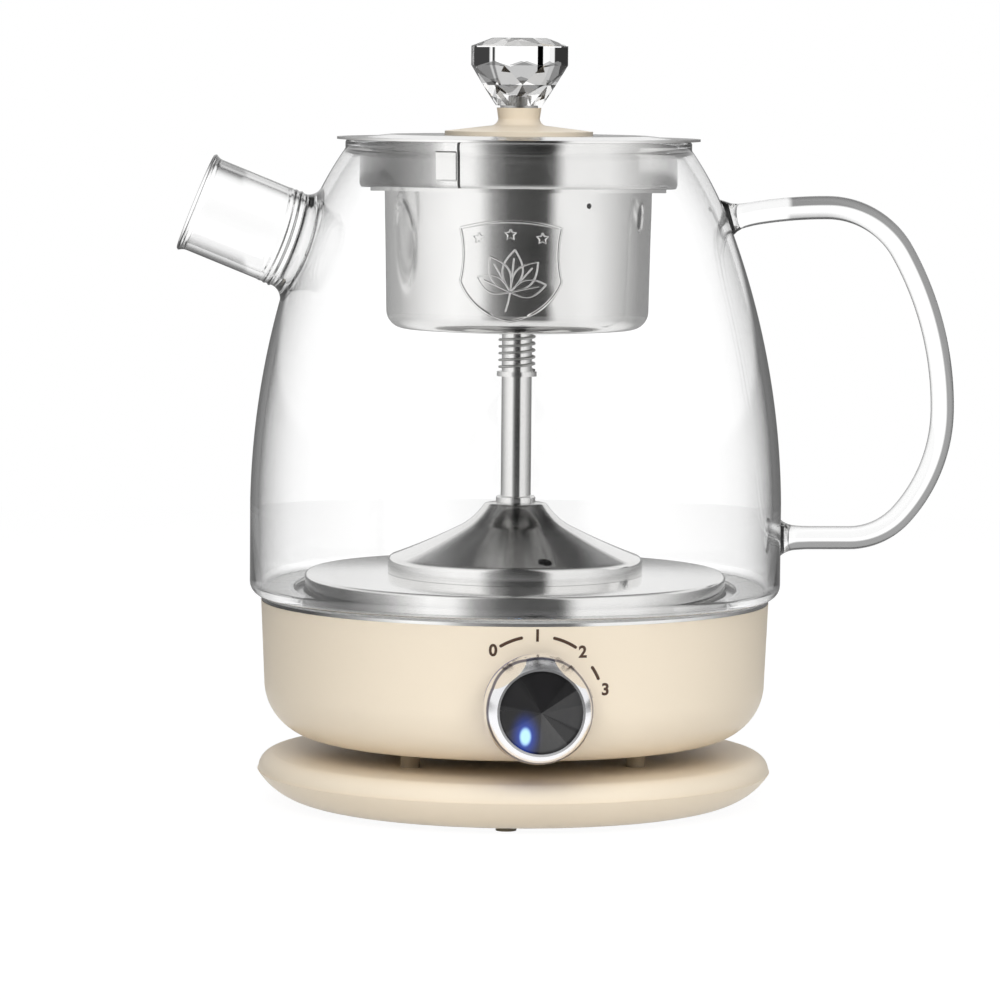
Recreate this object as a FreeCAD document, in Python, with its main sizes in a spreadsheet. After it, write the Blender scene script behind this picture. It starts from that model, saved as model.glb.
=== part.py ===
import FreeCAD, Part

import math
import os

import Sketcher
from FreeCAD import Placement, Rotation, Vector

# Glass tea maker with a sprung steam riser, on a round power base.
# Millimetres and degrees. The origin is where the jug's axis meets the table. +Z is up,
# the spout points to -X, the handle to +X and the rotary knob to -Y.

# ---------------------------------------------------------------- driving sizes
SIZES = {
    # power base
    "base_radius": (67.2, "outer radius of the power base at its seam"),
    "base_floor_radius": (52.5, "radius of the flat underside"),
    "base_floor_height": (1.2, "underside above the table"),
    "base_seam_height": (9.3, "seam between the two base shells"),
    "base_top_height": (13.6, "top face of the power base"),
    "base_belly_arc": (17.4, "radius of the lower shell's curved side"),
    "base_edge_arc": (4.1, "rounding of the top edge"),
    "base_wall": (2.2, "wall of the base shells"),
    "base_seam_step": (0.25, "how far the upper shell stands in at the seam"),
    "base_foot_radius": (2.65, "rubber foot of the power base"),
    "base_foot_circle": (48.5, "circle that the base feet stand on"),
    "base_foot_angle": (-97.0, "direction of the first base foot"),
    "base_boss_radius": (3.6, "screw boss of the lower shell"),
    "base_boss_circle": (36.0, "circle of the base screws"),
    "cord_entry_height": (5.6, "axis of the cord bush above the table"),
    "cord_bush_bore": (2.6, "bore radius of the cord bush"),
    "cord_bush_wall": (0.9, "wall of the cord bush"),
    "cord_bush_length": (11.0, "length of the cord bush"),
    "cord_bush_end": (63.6, "outer end of the bush from the axis"),
    # round connector
    "post_radius": (9.0, "round connector post"),
    "post_top_height": (22.6, "top of the connector post"),
    "post_seat_height": (5.4, "height at which the post stands in its housing"),
    "post_collar": (1.8, "how far the post's foot collar stands out"),
    "post_collar_height": (2.0, "height of that collar"),
    "post_running_gap": (0.08, "radial running gap round the post"),
    "hub_radius": (16.0, "connector housing in the middle of the base"),
    "hub_rise": (1.6, "how far the housing's rim stands above the base's top"),
    "pin_bore_radius": (2.2, "centre contact's bore"),
    "ring_slot_radius": (5.6, "middle of the ring contact's slot"),
    "ring_slot_width": (1.5, "width of that slot"),
    "contact_depth": (6.0, "depth of the contact bores"),
    "contact_wall": (0.4, "brass thickness of the contacts"),
    # jug housing
    "housing_radius": (66.4, "cream housing at its top edge"),
    "housing_low_radius": (65.5, "cream housing just above its rounded corner"),
    "housing_corner_arc": (14.5, "rounded lower corner"),
    "housing_under_height": (18.1, "flat underside above the table"),
    "housing_top_height": (53.8, "top edge of the housing"),
    "housing_wall": (2.4, "wall of the housing"),
    "cover_radius": (45.0, "bottom cover"),
    "cover_gap": (0.25, "gap round the bottom cover"),
    "cover_ledge": (2.5, "ledge of the housing that the cover is screwed to"),
    "cover_boss_radius": (3.4, "screw boss on the ledge"),
    "jug_foot_radius": (2.5, "foot under the jug"),
    "jug_foot_circle": (41.0, "circle of the jug's feet"),
    "screw_radius": (1.4, "thread radius of all housing screws"),
    "screw_head_radius": (2.7, "head radius of all housing screws"),
    "screw_head_height": (1.6, "head height of all housing screws"),
    "screw_length": (8.0, "length of all housing screws under the head"),
    # coupler under the jug
    "socket_radius": (12.6, "outside of the socket cup"),
    "socket_wall": (1.6, "wall of the socket cup"),
    "socket_flange_radius": (17.0, "flange of the socket on the bottom cover"),
    "socket_roof_height": (27.6, "underside of the socket's roof"),
    "centre_pin_radius": (1.5, "centre contact pin"),
    # heating plate and what hangs under it
    "plate_radius": (66.2, "outer edge of the steel heating plate"),
    "plateau_radius": (55.2, "raised middle of the plate"),
    "plateau_height": (58.7, "top of the raised middle"),
    "plate_flange_height": (54.6, "top of the plate's outer flange"),
    "plate_thickness": (0.8, "sheet of the heating plate"),
    "plate_bend": (1.1, "bend radius on the sheet's outside"),
    "spreader_radius": (50.0, "aluminium heat spreader"),
    "spreader_thickness": (3.0, "thickness of the spreader"),
    "element_circle": (36.0, "circle of the tubular element"),
    "element_width": (6.4, "width of the element's section"),
    "element_arc": (300.0, "how far round the element runs"),
    "element_tail": (7.0, "length of its cold ends below it"),
    "thermostat_radius": (7.0, "snap disc thermostat"),
    "thermostat_height": (9.0, "height of a thermostat"),
    "thermostat_offset": (14.0, "thermostat axis from the middle"),
    "board_width": (64.0, "control board, left to right"),
    "board_depth": (34.0, "control board, front to back"),
    "board_thickness": (1.6, "control board"),
    "board_height": (33.0, "underside of the control board"),
    "board_centre": (14.0, "middle of the board, behind the axis"),
    "board_post_radius": (2.6, "posts that carry the board"),
    # glass jug
    "glass_radius": (69.4, "outside of the glass"),
    "glass_wall": (2.0, "wall of the glass"),
    "glass_foot_height": (55.0, "underside of the glass foot"),
    "glass_foot_arc": (3.6, "rounded foot of the glass"),
    "glass_foot_lip": (7.5, "how far the foot's flat turns in"),
    "belly_rise": (25.0, "upright side of the glass above its foot, before it leans in"),
    "glass_seam_rise": (40.0, "seam of the glass's two solids above the start of its lean"),
    "shoulder_drop": (19.8, "how far below the neck the side turns into the shoulder"),
    "shoulder_radius": (55.4, "radius of the glass there"),
    "neck_radius": (45.1, "outside of the neck"),
    "neck_top_height": (174.0, "rim of the neck, on which the lid lies"),
    "neck_rise": (2.2, "upright part of the neck"),
    "neck_bore_radius": (42.0, "bore of the neck"),
    "side_arc": (213.0, "arc of the leaning side"),
    "shoulder_arc": (89.0, "arc of the shoulder"),
    "seal_thickness": (0.4, "silicone under the glass foot"),
    # spout and handle
    "spout_radius": (12.6, "outside of the glass spout"),
    "spout_wall": (1.8, "wall of the spout"),
    "spout_rise": (22.0, "rise of the spout above level"),
    "spout_mouth_reach": (84.0, "middle of the mouth from the axis"),
    "spout_mouth_rise": (5.6, "middle of the mouth above the start of the shoulder"),
    "spout_lip": (0.7, "flare of the mouth"),
    "spout_weld": (1.1, "glass bead round the spout's root"),
    "spout_weld_reach": (26.1, "end of that bead from the mouth"),
    "handle_radius": (3.05, "glass rod of the handle"),
    "handle_root_rise": (1.1, "upper start of the rod above the start of the shoulder"),
    "handle_root_reach": (52.0, "its distance from the jug's axis"),
    "handle_lean": (15.0, "rise of the rod where it leaves the jug"),
    "handle_crest_arc": (113.6, "first, nearly straight arc"),
    "handle_top_arc": (23.0, "upper bend"),
    "handle_top_turn": (60.0, "turn of the upper bend"),
    "handle_back_arc": (83.4, "long outer side"),
    "handle_back_turn": (30.0, "turn of the outer side"),
    "handle_lower_arc": (41.0, "lower bend, first arc"),
    "handle_lower_turn": (42.0, "turn of that arc"),
    "handle_foot_arc": (18.6, "lower bend, last arc"),
    "handle_weld_radius": (4.9, "rod's end where it is fused to the jug"),
    "handle_weld_length": (4.5, "length of that flare"),
    # rotary knob
    "knob_height": (33.8, "knob's axis above the table"),
    "knob_radius": (13.9, "chrome knob"),
    "knob_depth": (11.6, "depth of the knob"),
    "knob_back": (67.4, "back of the knob from the jug's axis"),
    "knob_bezel": (0.6, "flat bezel round the knob's dark face"),
    "knob_bow": (8.0, "how far back the bowed side reaches its full radius"),
    "knob_bow_arc": (12.6, "arc of the bowed side"),
    "knob_tuck": (0.7, "how far the knob draws in towards its back"),
    "knob_wall": (2.0, "wall of the knob"),
    "flat_angle": (40.0, "direction of the knob's flats, to each side of its pointer"),
    "flat_distance": (10.9, "flats from the knob's axis, at its front"),
    "flat_lean": (16.0, "how much the flats lean in towards the front"),
    "gem_radius": (10.4, "black faceted face of the knob"),
    "gem_rise": (1.5, "rise of the facets to the middle"),
    "gem_depth": (2.4, "thickness of the face's rim"),
    "gem_sink": (1.2, "how far the face lies below the rim"),
    "shaft_radius": (3.0, "switch shaft"),
    "shaft_gap": (0.05, "radial running gap of the shaft"),
    "ring_radius": (13.3, "light ring behind the knob"),
    "ring_front": (66.9, "front of the light ring from the jug's axis"),
    "led_radius": (1.5, "lamp behind the knob"),
    "led_side": (4.2, "how far the lamp stands to the left of the shaft"),
    "led_drop": (7.2, "how far the lamp stands below the shaft"),
    "switch_width": (18.0, "rotary switch, square"),
    "switch_depth": (13.0, "depth of the switch's body"),
    "bushing_radius": (4.6, "threaded bushing of the switch"),
    # lid
    "lid_radius": (47.3, "steel lid plate"),
    "lid_crown_rise": (0.7, "how far the lid plate rises to the cream disc"),
    "lid_crown_radius": (34.0, "flat crown in the middle of the lid plate"),
    "lid_rim_width": (7.0, "flat outer rim of the lid plate"),
    "lid_sheet": (0.6, "sheet of the lid"),
    "skirt_radius": (39.5, "outside of the lid's skirt"),
    "skirt_drop": (11.6, "how far the skirt reaches down into the neck"),
    "band_radius": (41.4, "split spring band"),
    "band_sheet": (0.6, "sheet of the band"),
    "band_drop": (12.0, "how far the band's lower edge lies below the rim"),
    "band_split": (2.4, "angle of the band's split"),
    "band_split_angle": (-119.0, "direction of the split"),
    "disc_radius": (19.3, "cream disc on the lid"),
    "disc_rim": (1.0, "height of the disc's rim"),
    "disc_rise": (2.4, "rise of the disc to its collar"),
    "collar_radius": (5.8, "collar that carries the crystal"),
    "collar_waist": (5.4, "narrowest radius of the collar"),
    "collar_rise": (4.7, "collar above the disc"),
    "crystal_foot_radius": (6.4, "underside of the crystal"),
    "crystal_mid_radius": (9.6, "corner ring between foot and girdle"),
    "crystal_girdle_radius": (13.2, "widest corners of the crystal"),
    "crystal_table_radius": (7.4, "corners of its flat top"),
    "crystal_mid_rise": (5.4, "middle corner ring above the crystal's underside"),
    "crystal_girdle_rise": (5.0, "lower edge of the girdle above the middle ring"),
    "crystal_girdle_width": (5.0, "width of the girdle"),
    "crystal_crown_rise": (2.1, "flat top above the girdle"),
    "stud_radius": (2.0, "screw that holds the crystal"),
    "stud_length": (3.6, "how far the screw goes into the crystal"),
    "crystal_washer": (0.6, "thickness of the washer under the crystal"),
    "nut_width": (7.0, "nut under the lid, across its flats"),
    "nut_height": (3.2, "height of that nut"),
    # tea basket
    "basket_radius": (34.8, "outside of the basket's wall at its top"),
    "basket_low_radius": (34.2, "outside of the wall at its bottom"),
    "basket_corner_arc": (4.7, "rounded bottom corner"),
    "basket_depth": (36.7, "underside of the basket below the step to its collar"),
    "basket_collar_radius": (38.5, "collar that turns in the lid's skirt"),
    "basket_collar_drop": (4.0, "upper edge of the collar below the rim of the neck"),
    "basket_collar_width": (8.4, "height of the collar"),
    "basket_sheet": (0.6, "sheet of the basket"),
    "basket_vent_radius": (0.7, "vent hole in the wall"),
    "basket_vent_drop": (3.8, "vent hole below the step to the collar"),
    "basket_vent_angle": (-64.0, "direction of the vent hole"),
    "filter_lip": (27.4, "opening in the cup's bottom, over which the strainer lies"),
    "filter_overlap": (2.0, "how far the strainer lies on the cup's lip"),
    "filter_hole_radius": (1.1, "strainer holes"),
    "filter_first": (11.0, "radius of the first ring of holes"),
    "filter_pitch": (5.2, "distance between the rings"),
    "badge_width": (26.4, "raised shield on the basket's front"),
    "badge_height": (26.4, "height of the shield"),
    "badge_rise": (16.3, "middle of the shield above the basket's underside"),
    "badge_relief": (0.7, "how far the shield stands out"),
    "badge_angle": (-98.0, "direction of the shield"),
    "sleeve_wall": (0.8, "wall of the basket's guide sleeve"),
    "sleeve_rise": (35.1, "guide sleeve above the basket's underside"),
    # riser
    "riser_radius": (3.93, "steam riser tube"),
    "riser_bore": (3.1, "bore of the riser"),
    "riser_gap": (0.08, "radial running gap of the riser"),
    "riser_reach": (4.0, "how far the riser stands out of the guide sleeve"),
    "cap_radius": (6.4, "spray cap on the riser"),
    "cap_drop": (3.0, "how far the cap reaches down below the riser's top"),
    "cap_rise": (2.0, "how far the cap stands above the riser's top"),
    "cap_hole_radius": (0.8, "spray holes of the cap"),
    "washer_radius": (5.2, "spring washer on the riser"),
    "washer_drop": (12.4, "underside of the washer below the basket"),
    "washer_thickness": (1.2, "thickness of the washer"),
    "spring_radius": (4.87, "outside of the spring"),
    "spring_wire": (0.34, "radius of the spring's wire"),
    "spring_turns": (6.0, "turns of the spring"),
    "bell_radius": (33.4, "steam bell"),
    "bell_shoulder_height": (64.6, "upper edge of the bell's skirt"),
    "bell_crown_radius": (8.4, "flat crown of the bell"),
    "bell_crown_height": (79.4, "top of the bell"),
    "bell_flare_arc": (46.0, "hollow arc of the bell's side"),
    "bell_sheet": (0.8, "sheet of the bell"),
    "bell_hole_radius": (1.4, "hole in the bell's side"),
    "bell_hole_circle": (29.6, "distance of that hole from the axis"),
    "bell_hole_angle": (-80.0, "direction of the first hole"),
    "ferrule_radius": (5.15, "ferrule that clamps the bell"),
    "ferrule_height": (1.9, "height of the ferrule above the bell"),
}
FEET = 4
BASE_SCREWS = 4
COVER_SCREWS = 3
BELL_HOLES = 3
CAP_HOLES = 6
FILTER_ROWS = 4
FACETS = 8
GEM_FACETS = 9
COIL_SIDES = 8
COIL_STEPS = 16

doc = FreeCAD.newDocument("TeaMaker")
sheet = doc.addObject("Spreadsheet::Sheet", "Sizes")
for row, (name, (number, meaning)) in enumerate(SIZES.items(), start=1):
    sheet.set(f"A{row}", name)
    sheet.set(f"B{row}", str(number))
    sheet.set(f"C{row}", meaning)
    sheet.setAlias(f"B{row}", name)
doc.recompute()


class Size:
    """A length or angle with the expression that binds it to the sheet."""

    def __init__(self, number, text):
        self.number = float(number)
        self.text = text

    def __float__(self):
        return self.number

    def __add__(self, other):
        return Size(self.number + float(other), f"({self.text} + {term(other)})")

    def __radd__(self, other):
        return Size(float(other) + self.number, f"({term(other)} + {self.text})")

    def __sub__(self, other):
        return Size(self.number - float(other), f"({self.text} - {term(other)})")

    def __rsub__(self, other):
        return Size(float(other) - self.number, f"({term(other)} - {self.text})")

    def __mul__(self, other):
        return Size(self.number * float(other), f"({self.text} * {term(other)})")

    def __rmul__(self, other):
        return Size(float(other) * self.number, f"({term(other)} * {self.text})")

    def __truediv__(self, other):
        return Size(self.number / float(other), f"({self.text} / {term(other)})")

    def __neg__(self):
        return Size(-self.number, f"(-1 * {self.text})")


class SheetSizes:
    """Gives each driving size by its name."""

    def __getattr__(self, name):
        return Size(sheet.get(name), f"Sizes.{name}")


def term(value):
    return value.text if isinstance(value, Size) else repr(float(value))


size = SheetSizes()
pieces = {}


# ---------------------------------------------------------------- helpers
class Arc:
    """A round stretch between two outline points. It bulges to the right of the way along."""

    def __init__(self, radius, left=False):
        self.radius = radius
        self.left = left


def bind(thing, path, value):
    """Ties a property to the sheet when its value comes from there."""
    if isinstance(value, Size):
        thing.setExpression(path, value.text)


def new_body(label):
    body = doc.addObject("PartDesign::Body", label)
    body.Label = label
    body.AllowCompound = True
    return body


def new_sketch(body, role, height=0.0):
    sketch = body.newObject("Sketcher::SketchObject", f"{body.Name}_sketch")
    origin = next(f for f in body.Origin.OriginFeatures if f.Role == role)
    sketch.AttachmentSupport = [(origin, "")]
    sketch.MapMode = "FlatFace"
    sketch.AttachmentOffset = Placement(Vector(0, 0, float(height)), Rotation())
    bind(sketch, "AttachmentOffset.Base.z", height)
    return sketch


def hold(sketch, kind, geometry, point, value):
    """Fixes one coordinate of a point, on the sketch's axis where it is nought."""
    if abs(float(value)) < 1e-9 and not isinstance(value, Size):
        axis = -2 if kind == "DistanceX" else -1
        sketch.addConstraint(Sketcher.Constraint("PointOnObject", geometry, point, axis))
        return
    at = sketch.addConstraint(
        Sketcher.Constraint(kind, -1, 1, geometry, point, float(value))
    )
    bind(sketch, f"Constraints[{at}]", value)


def arc_between(start, end, radius, left):
    """The arc of the stated radius from start to end, as a centre and two angles."""
    middle = (start + end) * 0.5
    chord = end - start
    half = chord.Length / 2
    rise = math.sqrt(max(radius * radius - half * half, 0.0))
    across = Vector(chord.y, -chord.x, 0).normalize()
    centre = middle + across * (rise if left else -rise)
    first, last = start - centre, end - centre
    angles = [math.atan2(v.y, v.x) for v in (first, last)]
    if left:
        angles.reverse()
    return centre, angles[0], angles[1]


def outline(sketch, steps):
    """Draws a closed outline of points, straight or with an Arc before the next point."""
    points = [s for s in steps if not isinstance(s, Arc)]
    arcs = {}
    for before, step in zip(steps, steps[1:] + steps[:1]):
        if isinstance(step, Arc):
            arcs[points.index(before)] = step
    ends = [Vector(float(x), float(y), 0) for x, y in points]
    joins = []
    for index, start in enumerate(ends):
        end = ends[(index + 1) % len(ends)]
        arc = arcs.get(index)
        if arc is None:
            at = sketch.addGeometry(Part.LineSegment(start, end))
            joins.append((at, 1, 2))
            continue
        centre, low, high = arc_between(start, end, float(arc.radius), arc.left)
        circle = Part.Circle(centre, Vector(0, 0, 1), float(arc.radius))
        at = sketch.addGeometry(Part.ArcOfCircle(circle, low, high))
        joins.append((at, 2, 1) if arc.left else (at, 1, 2))
    for index, (at, _, last) in enumerate(joins):
        after, first, _ = joins[(index + 1) % len(joins)]
        sketch.addConstraint(Sketcher.Constraint("Coincident", at, last, after, first))
    for (at, first, _), (x, y) in zip(joins, points):
        hold(sketch, "DistanceX", at, first, x)
        hold(sketch, "DistanceY", at, first, y)
    for index, arc in arcs.items():
        at = joins[index][0]
        rule = sketch.addConstraint(Sketcher.Constraint("Radius", at, float(arc.radius)))
        bind(sketch, f"Constraints[{rule}]", arc.radius)


def circle(sketch, x, y, radius):
    at = sketch.addGeometry(
        Part.Circle(Vector(float(x), float(y), 0), Vector(0, 0, 1), float(radius))
    )
    hold(sketch, "DistanceX", at, 3, x)
    hold(sketch, "DistanceY", at, 3, y)
    rule = sketch.addConstraint(Sketcher.Constraint("Radius", at, float(radius)))
    bind(sketch, f"Constraints[{rule}]", radius)


def turn(body, steps, angle=360.0):
    """Revolves an outline of radius and height round the body's own Z."""
    sketch = new_sketch(body, "XZ_Plane")
    outline(sketch, steps)
    feature = body.newObject("PartDesign::Revolution", f"{body.Name}_turn")
    feature.Profile = sketch
    feature.ReferenceAxis = (sketch, ["V_Axis"])
    feature.Angle = float(angle)
    bind(feature, "Angle", angle)
    body.Tip = feature
    return feature


def extrude(body, sketch, length, cut=False, down=False):
    kind = "PartDesign::Pocket" if cut else "PartDesign::Pad"
    feature = body.newObject(kind, f"{body.Name}_{'cut' if cut else 'pad'}")
    feature.Profile = sketch
    feature.Length = float(length)
    bind(feature, "Length", length)
    # A pocket runs below its sketch by itself, so it is reversed to run up.
    feature.Reversed = down != cut
    body.Tip = feature
    return feature


def rod(body, x, y, radius, low, high, cut=False):
    """A round pad or hole along the body's own Z, from low to high."""
    sketch = new_sketch(body, "XY_Plane", low)
    circle(sketch, x, y, radius)
    return extrude(body, sketch, high - low, cut=cut)


def ring_of(body, features, count):
    """Repeats the features round the body's own Z."""
    pattern = body.newObject("PartDesign::PolarPattern", f"{body.Name}_ring")
    pattern.Originals = features
    origin = next(f for f in body.Origin.OriginFeatures if f.Role == "Z_Axis")
    pattern.Axis = (origin, [""])
    pattern.Angle = 360.0
    pattern.Occurrences = count
    body.Tip = pattern
    return pattern


def turned_piece(label, steps, angle=360.0):
    body = new_body(label)
    turn(body, steps, angle)
    pieces[label] = body
    return body


def place(thing, x=0.0, y=0.0, z=0.0, rotation=None):
    thing.Placement = Placement(
        Vector(float(x), float(y), float(z)), rotation or Rotation()
    )
    for axis, value in (("x", x), ("y", y), ("z", z)):
        bind(thing, f"Placement.Base.{axis}", value)


def cut_piece(label, base, tools):
    """Takes the tools out of the base, one after another."""
    for step, tool in enumerate(tools, start=1):
        cut = doc.addObject("Part::Cut", f"{label}_cut{step}")
        cut.Base = base
        cut.Tool = tool
        base = cut
    base.Label = label
    pieces[label] = base
    return base


def cylinder(label, radius, height):
    thing = doc.addObject("Part::Cylinder", label)
    thing.Radius = float(radius)
    thing.Height = float(height)
    bind(thing, "Radius", radius)
    bind(thing, "Height", height)
    return thing


def spoke(angle):
    """The unit vector of a direction round Z."""
    return Vector(math.cos(math.radians(angle)), math.sin(math.radians(angle)), 0)


FACING_FRONT = Rotation(Vector(1, 0, 0), 90)
FACING_BACK = Rotation(Vector(1, 0, 0), -90)

# ---------------------------------------------------------------- power base
base_inner_floor = size.base_floor_height + size.base_wall
base_ceiling = size.base_top_height - size.base_wall
hub_bore = size.post_radius + size.post_running_gap

lower_shell = new_body("base_lower_shell")
turn(lower_shell, [
    (0.0, size.base_floor_height),
    (size.base_floor_radius, size.base_floor_height),
    Arc(size.base_belly_arc),
    (size.base_radius, size.base_seam_height),
    (size.base_radius - size.base_wall, size.base_seam_height),
    Arc(size.base_belly_arc, left=True),
    (size.base_floor_radius, base_inner_floor),
    (0.0, base_inner_floor),
])
base_bosses = [
    rod(lower_shell, size.base_boss_circle, 0.0, size.base_boss_radius,
        size.base_floor_height, base_ceiling),
]
ring_of(lower_shell, base_bosses, BASE_SCREWS)
# Each boss has a bore for the thread and a wider one that sinks the screw's head.
base_screw_seat = size.base_floor_height + size.screw_head_height + 0.3
base_bores = [
    rod(lower_shell, size.base_boss_circle, 0.0, size.screw_radius,
        size.base_floor_height, base_ceiling, cut=True),
    rod(lower_shell, size.base_boss_circle, 0.0, size.screw_head_radius + 0.2,
        size.base_floor_height, base_screw_seat, cut=True),
]
ring_of(lower_shell, base_bores, BASE_SCREWS)
cord_hole = cylinder("cord_hole", size.cord_bush_bore + size.cord_bush_wall, 20.0)
place(cord_hole, 0.0, size.base_floor_radius, size.cord_entry_height, FACING_BACK)
cut_piece("base_lower_shell_open", lower_shell, [cord_hole])
pieces["base_lower_shell"] = pieces.pop("base_lower_shell_open")

turned_piece("base_upper_shell", [
    (size.base_radius - size.base_wall, size.base_seam_height),
    (size.base_radius - size.base_seam_step, size.base_seam_height),
    Arc(size.base_edge_arc),
    (size.base_radius - size.base_edge_arc, size.base_top_height),
    (size.hub_radius + 0.1, size.base_top_height),
    (size.hub_radius + 0.1, base_ceiling),
    (size.base_radius - size.base_edge_arc - 0.6, base_ceiling),
])

base_feet = new_body("base_feet")
ring_of(base_feet, [
    rod(base_feet, size.base_foot_circle, 0.0, size.base_foot_radius,
        0.0, size.base_floor_height),
], FEET)
place(base_feet, 0.0, 0.0, 0.0, Rotation(Vector(0, 0, 1), float(size.base_foot_angle)))
pieces["base_feet"] = base_feet


def screws(label, circle_radius, seat_height, count, turned=0.0):
    """Screws driven upwards, their heads below the seat."""
    body = new_body(label)
    head = rod(body, circle_radius, 0.0, size.screw_head_radius,
               seat_height - size.screw_head_height, seat_height)
    shank = rod(body, circle_radius, 0.0, size.screw_radius,
                seat_height, seat_height + size.screw_length)
    ring_of(body, [head, shank], count)
    place(body, 0.0, 0.0, 0.0, Rotation(Vector(0, 0, 1), turned))
    pieces[label] = body


screws("base_screws", size.base_boss_circle, base_screw_seat, BASE_SCREWS)

# The connector housing is clipped into the upper shell and carries the round post.
turned_piece("connector_housing", [
    (hub_bore + 0.2, base_inner_floor),
    (size.hub_radius + 1.6, base_inner_floor),
    (size.hub_radius + 1.6, base_ceiling),
    (size.hub_radius, base_ceiling),
    (size.hub_radius, size.base_top_height + size.hub_rise),
    (hub_bore, size.base_top_height + size.hub_rise),
    (hub_bore, size.post_seat_height + size.post_collar_height + 0.3),
    (hub_bore + size.post_collar + 0.2, size.post_seat_height + size.post_collar_height + 0.3),
    (hub_bore + size.post_collar + 0.2, size.post_seat_height),
    (hub_bore + 0.2, size.post_seat_height),
])

bush_outer = size.cord_bush_bore + size.cord_bush_wall
cord_bush = turned_piece("cord_bush", [
    (size.cord_bush_bore, 0.0),
    (bush_outer, 0.0),
    (bush_outer, size.cord_bush_length),
    (size.cord_bush_bore, size.cord_bush_length),
])
place(cord_bush, 0.0, size.cord_bush_end - size.cord_bush_length, size.cord_entry_height,
      FACING_BACK)

# ---------------------------------------------------------------- connector
slot_low = size.ring_slot_radius - size.ring_slot_width / 2
slot_high = size.ring_slot_radius + size.ring_slot_width / 2
contact_floor = size.post_top_height - size.contact_depth
turned_piece("connector_post", [
    (0.0, size.post_seat_height),
    (size.post_radius + size.post_collar, size.post_seat_height),
    (size.post_radius + size.post_collar, size.post_seat_height + size.post_collar_height),
    (size.post_radius, size.post_seat_height + size.post_collar_height),
    (size.post_radius, size.post_top_height - 1.0),
    Arc(1.0),
    (size.post_radius - 1.0, size.post_top_height),
    (slot_high, size.post_top_height),
    (slot_high, contact_floor),
    (slot_low, contact_floor),
    (slot_low, size.post_top_height),
    (size.pin_bore_radius + size.contact_wall, size.post_top_height),
    (size.pin_bore_radius + size.contact_wall, contact_floor),
    (0.0, contact_floor),
])
contacts = new_body("connector_contacts")
contact_top = size.post_top_height - 0.8
sleeve_sketch = new_sketch(contacts, "XY_Plane", contact_floor)
circle(sleeve_sketch, 0.0, 0.0, size.pin_bore_radius)
circle(sleeve_sketch, 0.0, 0.0, size.pin_bore_radius + size.contact_wall)
extrude(contacts, sleeve_sketch, contact_top - contact_floor)
band_sketch = new_sketch(contacts, "XY_Plane", contact_floor)
circle(band_sketch, 0.0, 0.0, slot_low)
circle(band_sketch, 0.0, 0.0, slot_low + size.contact_wall)
extrude(contacts, band_sketch, contact_top - contact_floor)
pieces["connector_contacts"] = contacts

# ---------------------------------------------------------------- jug housing
under = size.housing_under_height
housing_floor = under + size.housing_wall
corner_radius = size.housing_low_radius - size.housing_corner_arc
housing = new_body("jug_housing")
turn(housing, [
    (size.cover_radius + size.cover_gap, under),
    (corner_radius, under),
    Arc(size.housing_corner_arc),
    (size.housing_low_radius, under + size.housing_corner_arc),
    (size.housing_radius, size.housing_top_height),
    (size.housing_radius - size.housing_wall, size.housing_top_height),
    (size.housing_low_radius - size.housing_wall, under + size.housing_corner_arc),
    Arc(size.housing_corner_arc - size.housing_wall, left=True),
    (corner_radius, housing_floor),
    (corner_radius, housing_floor + 1.4),
    (size.cover_radius - size.cover_ledge, housing_floor + 1.4),
    (size.cover_radius - size.cover_ledge, housing_floor),
    (size.cover_radius + size.cover_gap, housing_floor),
])
cover_screw_circle = size.cover_radius - size.cover_ledge - 0.9
shaft_hole = cylinder("shaft_hole", size.bushing_radius + 0.2, 20.0)
place(shaft_hole, 0.0, -(size.housing_low_radius - 12.0), size.knob_height, FACING_FRONT)
ledge_bosses = new_body("ledge_bosses")
ring_of(ledge_bosses, [
    rod(ledge_bosses, cover_screw_circle, 0.0, size.cover_boss_radius,
        housing_floor, housing_floor + size.screw_length + 2.0),
], COVER_SCREWS)
place(ledge_bosses, 0.0, 0.0, 0.0, Rotation(Vector(0, 0, 1), 90.0))
housing_joined = doc.addObject("Part::Fuse", "jug_housing_joined")
housing_joined.Base = housing
housing_joined.Tool = ledge_bosses
boss_bores = new_body("boss_bores")
ring_of(boss_bores, [
    rod(boss_bores, cover_screw_circle, 0.0, size.screw_radius,
        under, housing_floor + size.screw_length + 4.0),
], COVER_SCREWS)
place(boss_bores, 0.0, 0.0, 0.0, Rotation(Vector(0, 0, 1), 90.0))
cut_piece("jug_housing_done", housing_joined, [shaft_hole, boss_bores])
pieces["jug_housing"] = pieces.pop("jug_housing_done")

# The bottom cover closes the housing from below, with the screw heads sunk into it.
cover_screw_seat = under + size.screw_head_height + 0.2
cover = new_body("bottom_cover")
cover_face = new_sketch(cover, "XY_Plane", under)
circle(cover_face, 0.0, 0.0, size.cover_radius)
circle(cover_face, 0.0, 0.0, size.socket_radius + 0.1)
extrude(cover, cover_face, size.housing_wall)
cover_bores = new_body("cover_bores")
ring_of(cover_bores, [
    rod(cover_bores, cover_screw_circle, 0.0, size.screw_head_radius + 0.2,
        under - 1.0, cover_screw_seat),
    rod(cover_bores, cover_screw_circle, 0.0, size.screw_radius,
        cover_screw_seat, housing_floor + 1.0),
], COVER_SCREWS)
place(cover_bores, 0.0, 0.0, 0.0, Rotation(Vector(0, 0, 1), 90.0))
cut_piece("bottom_cover_done", cover, [cover_bores])
pieces["bottom_cover"] = pieces.pop("bottom_cover_done")
screws("cover_screws", cover_screw_circle, cover_screw_seat, COVER_SCREWS, 90.0)

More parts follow.
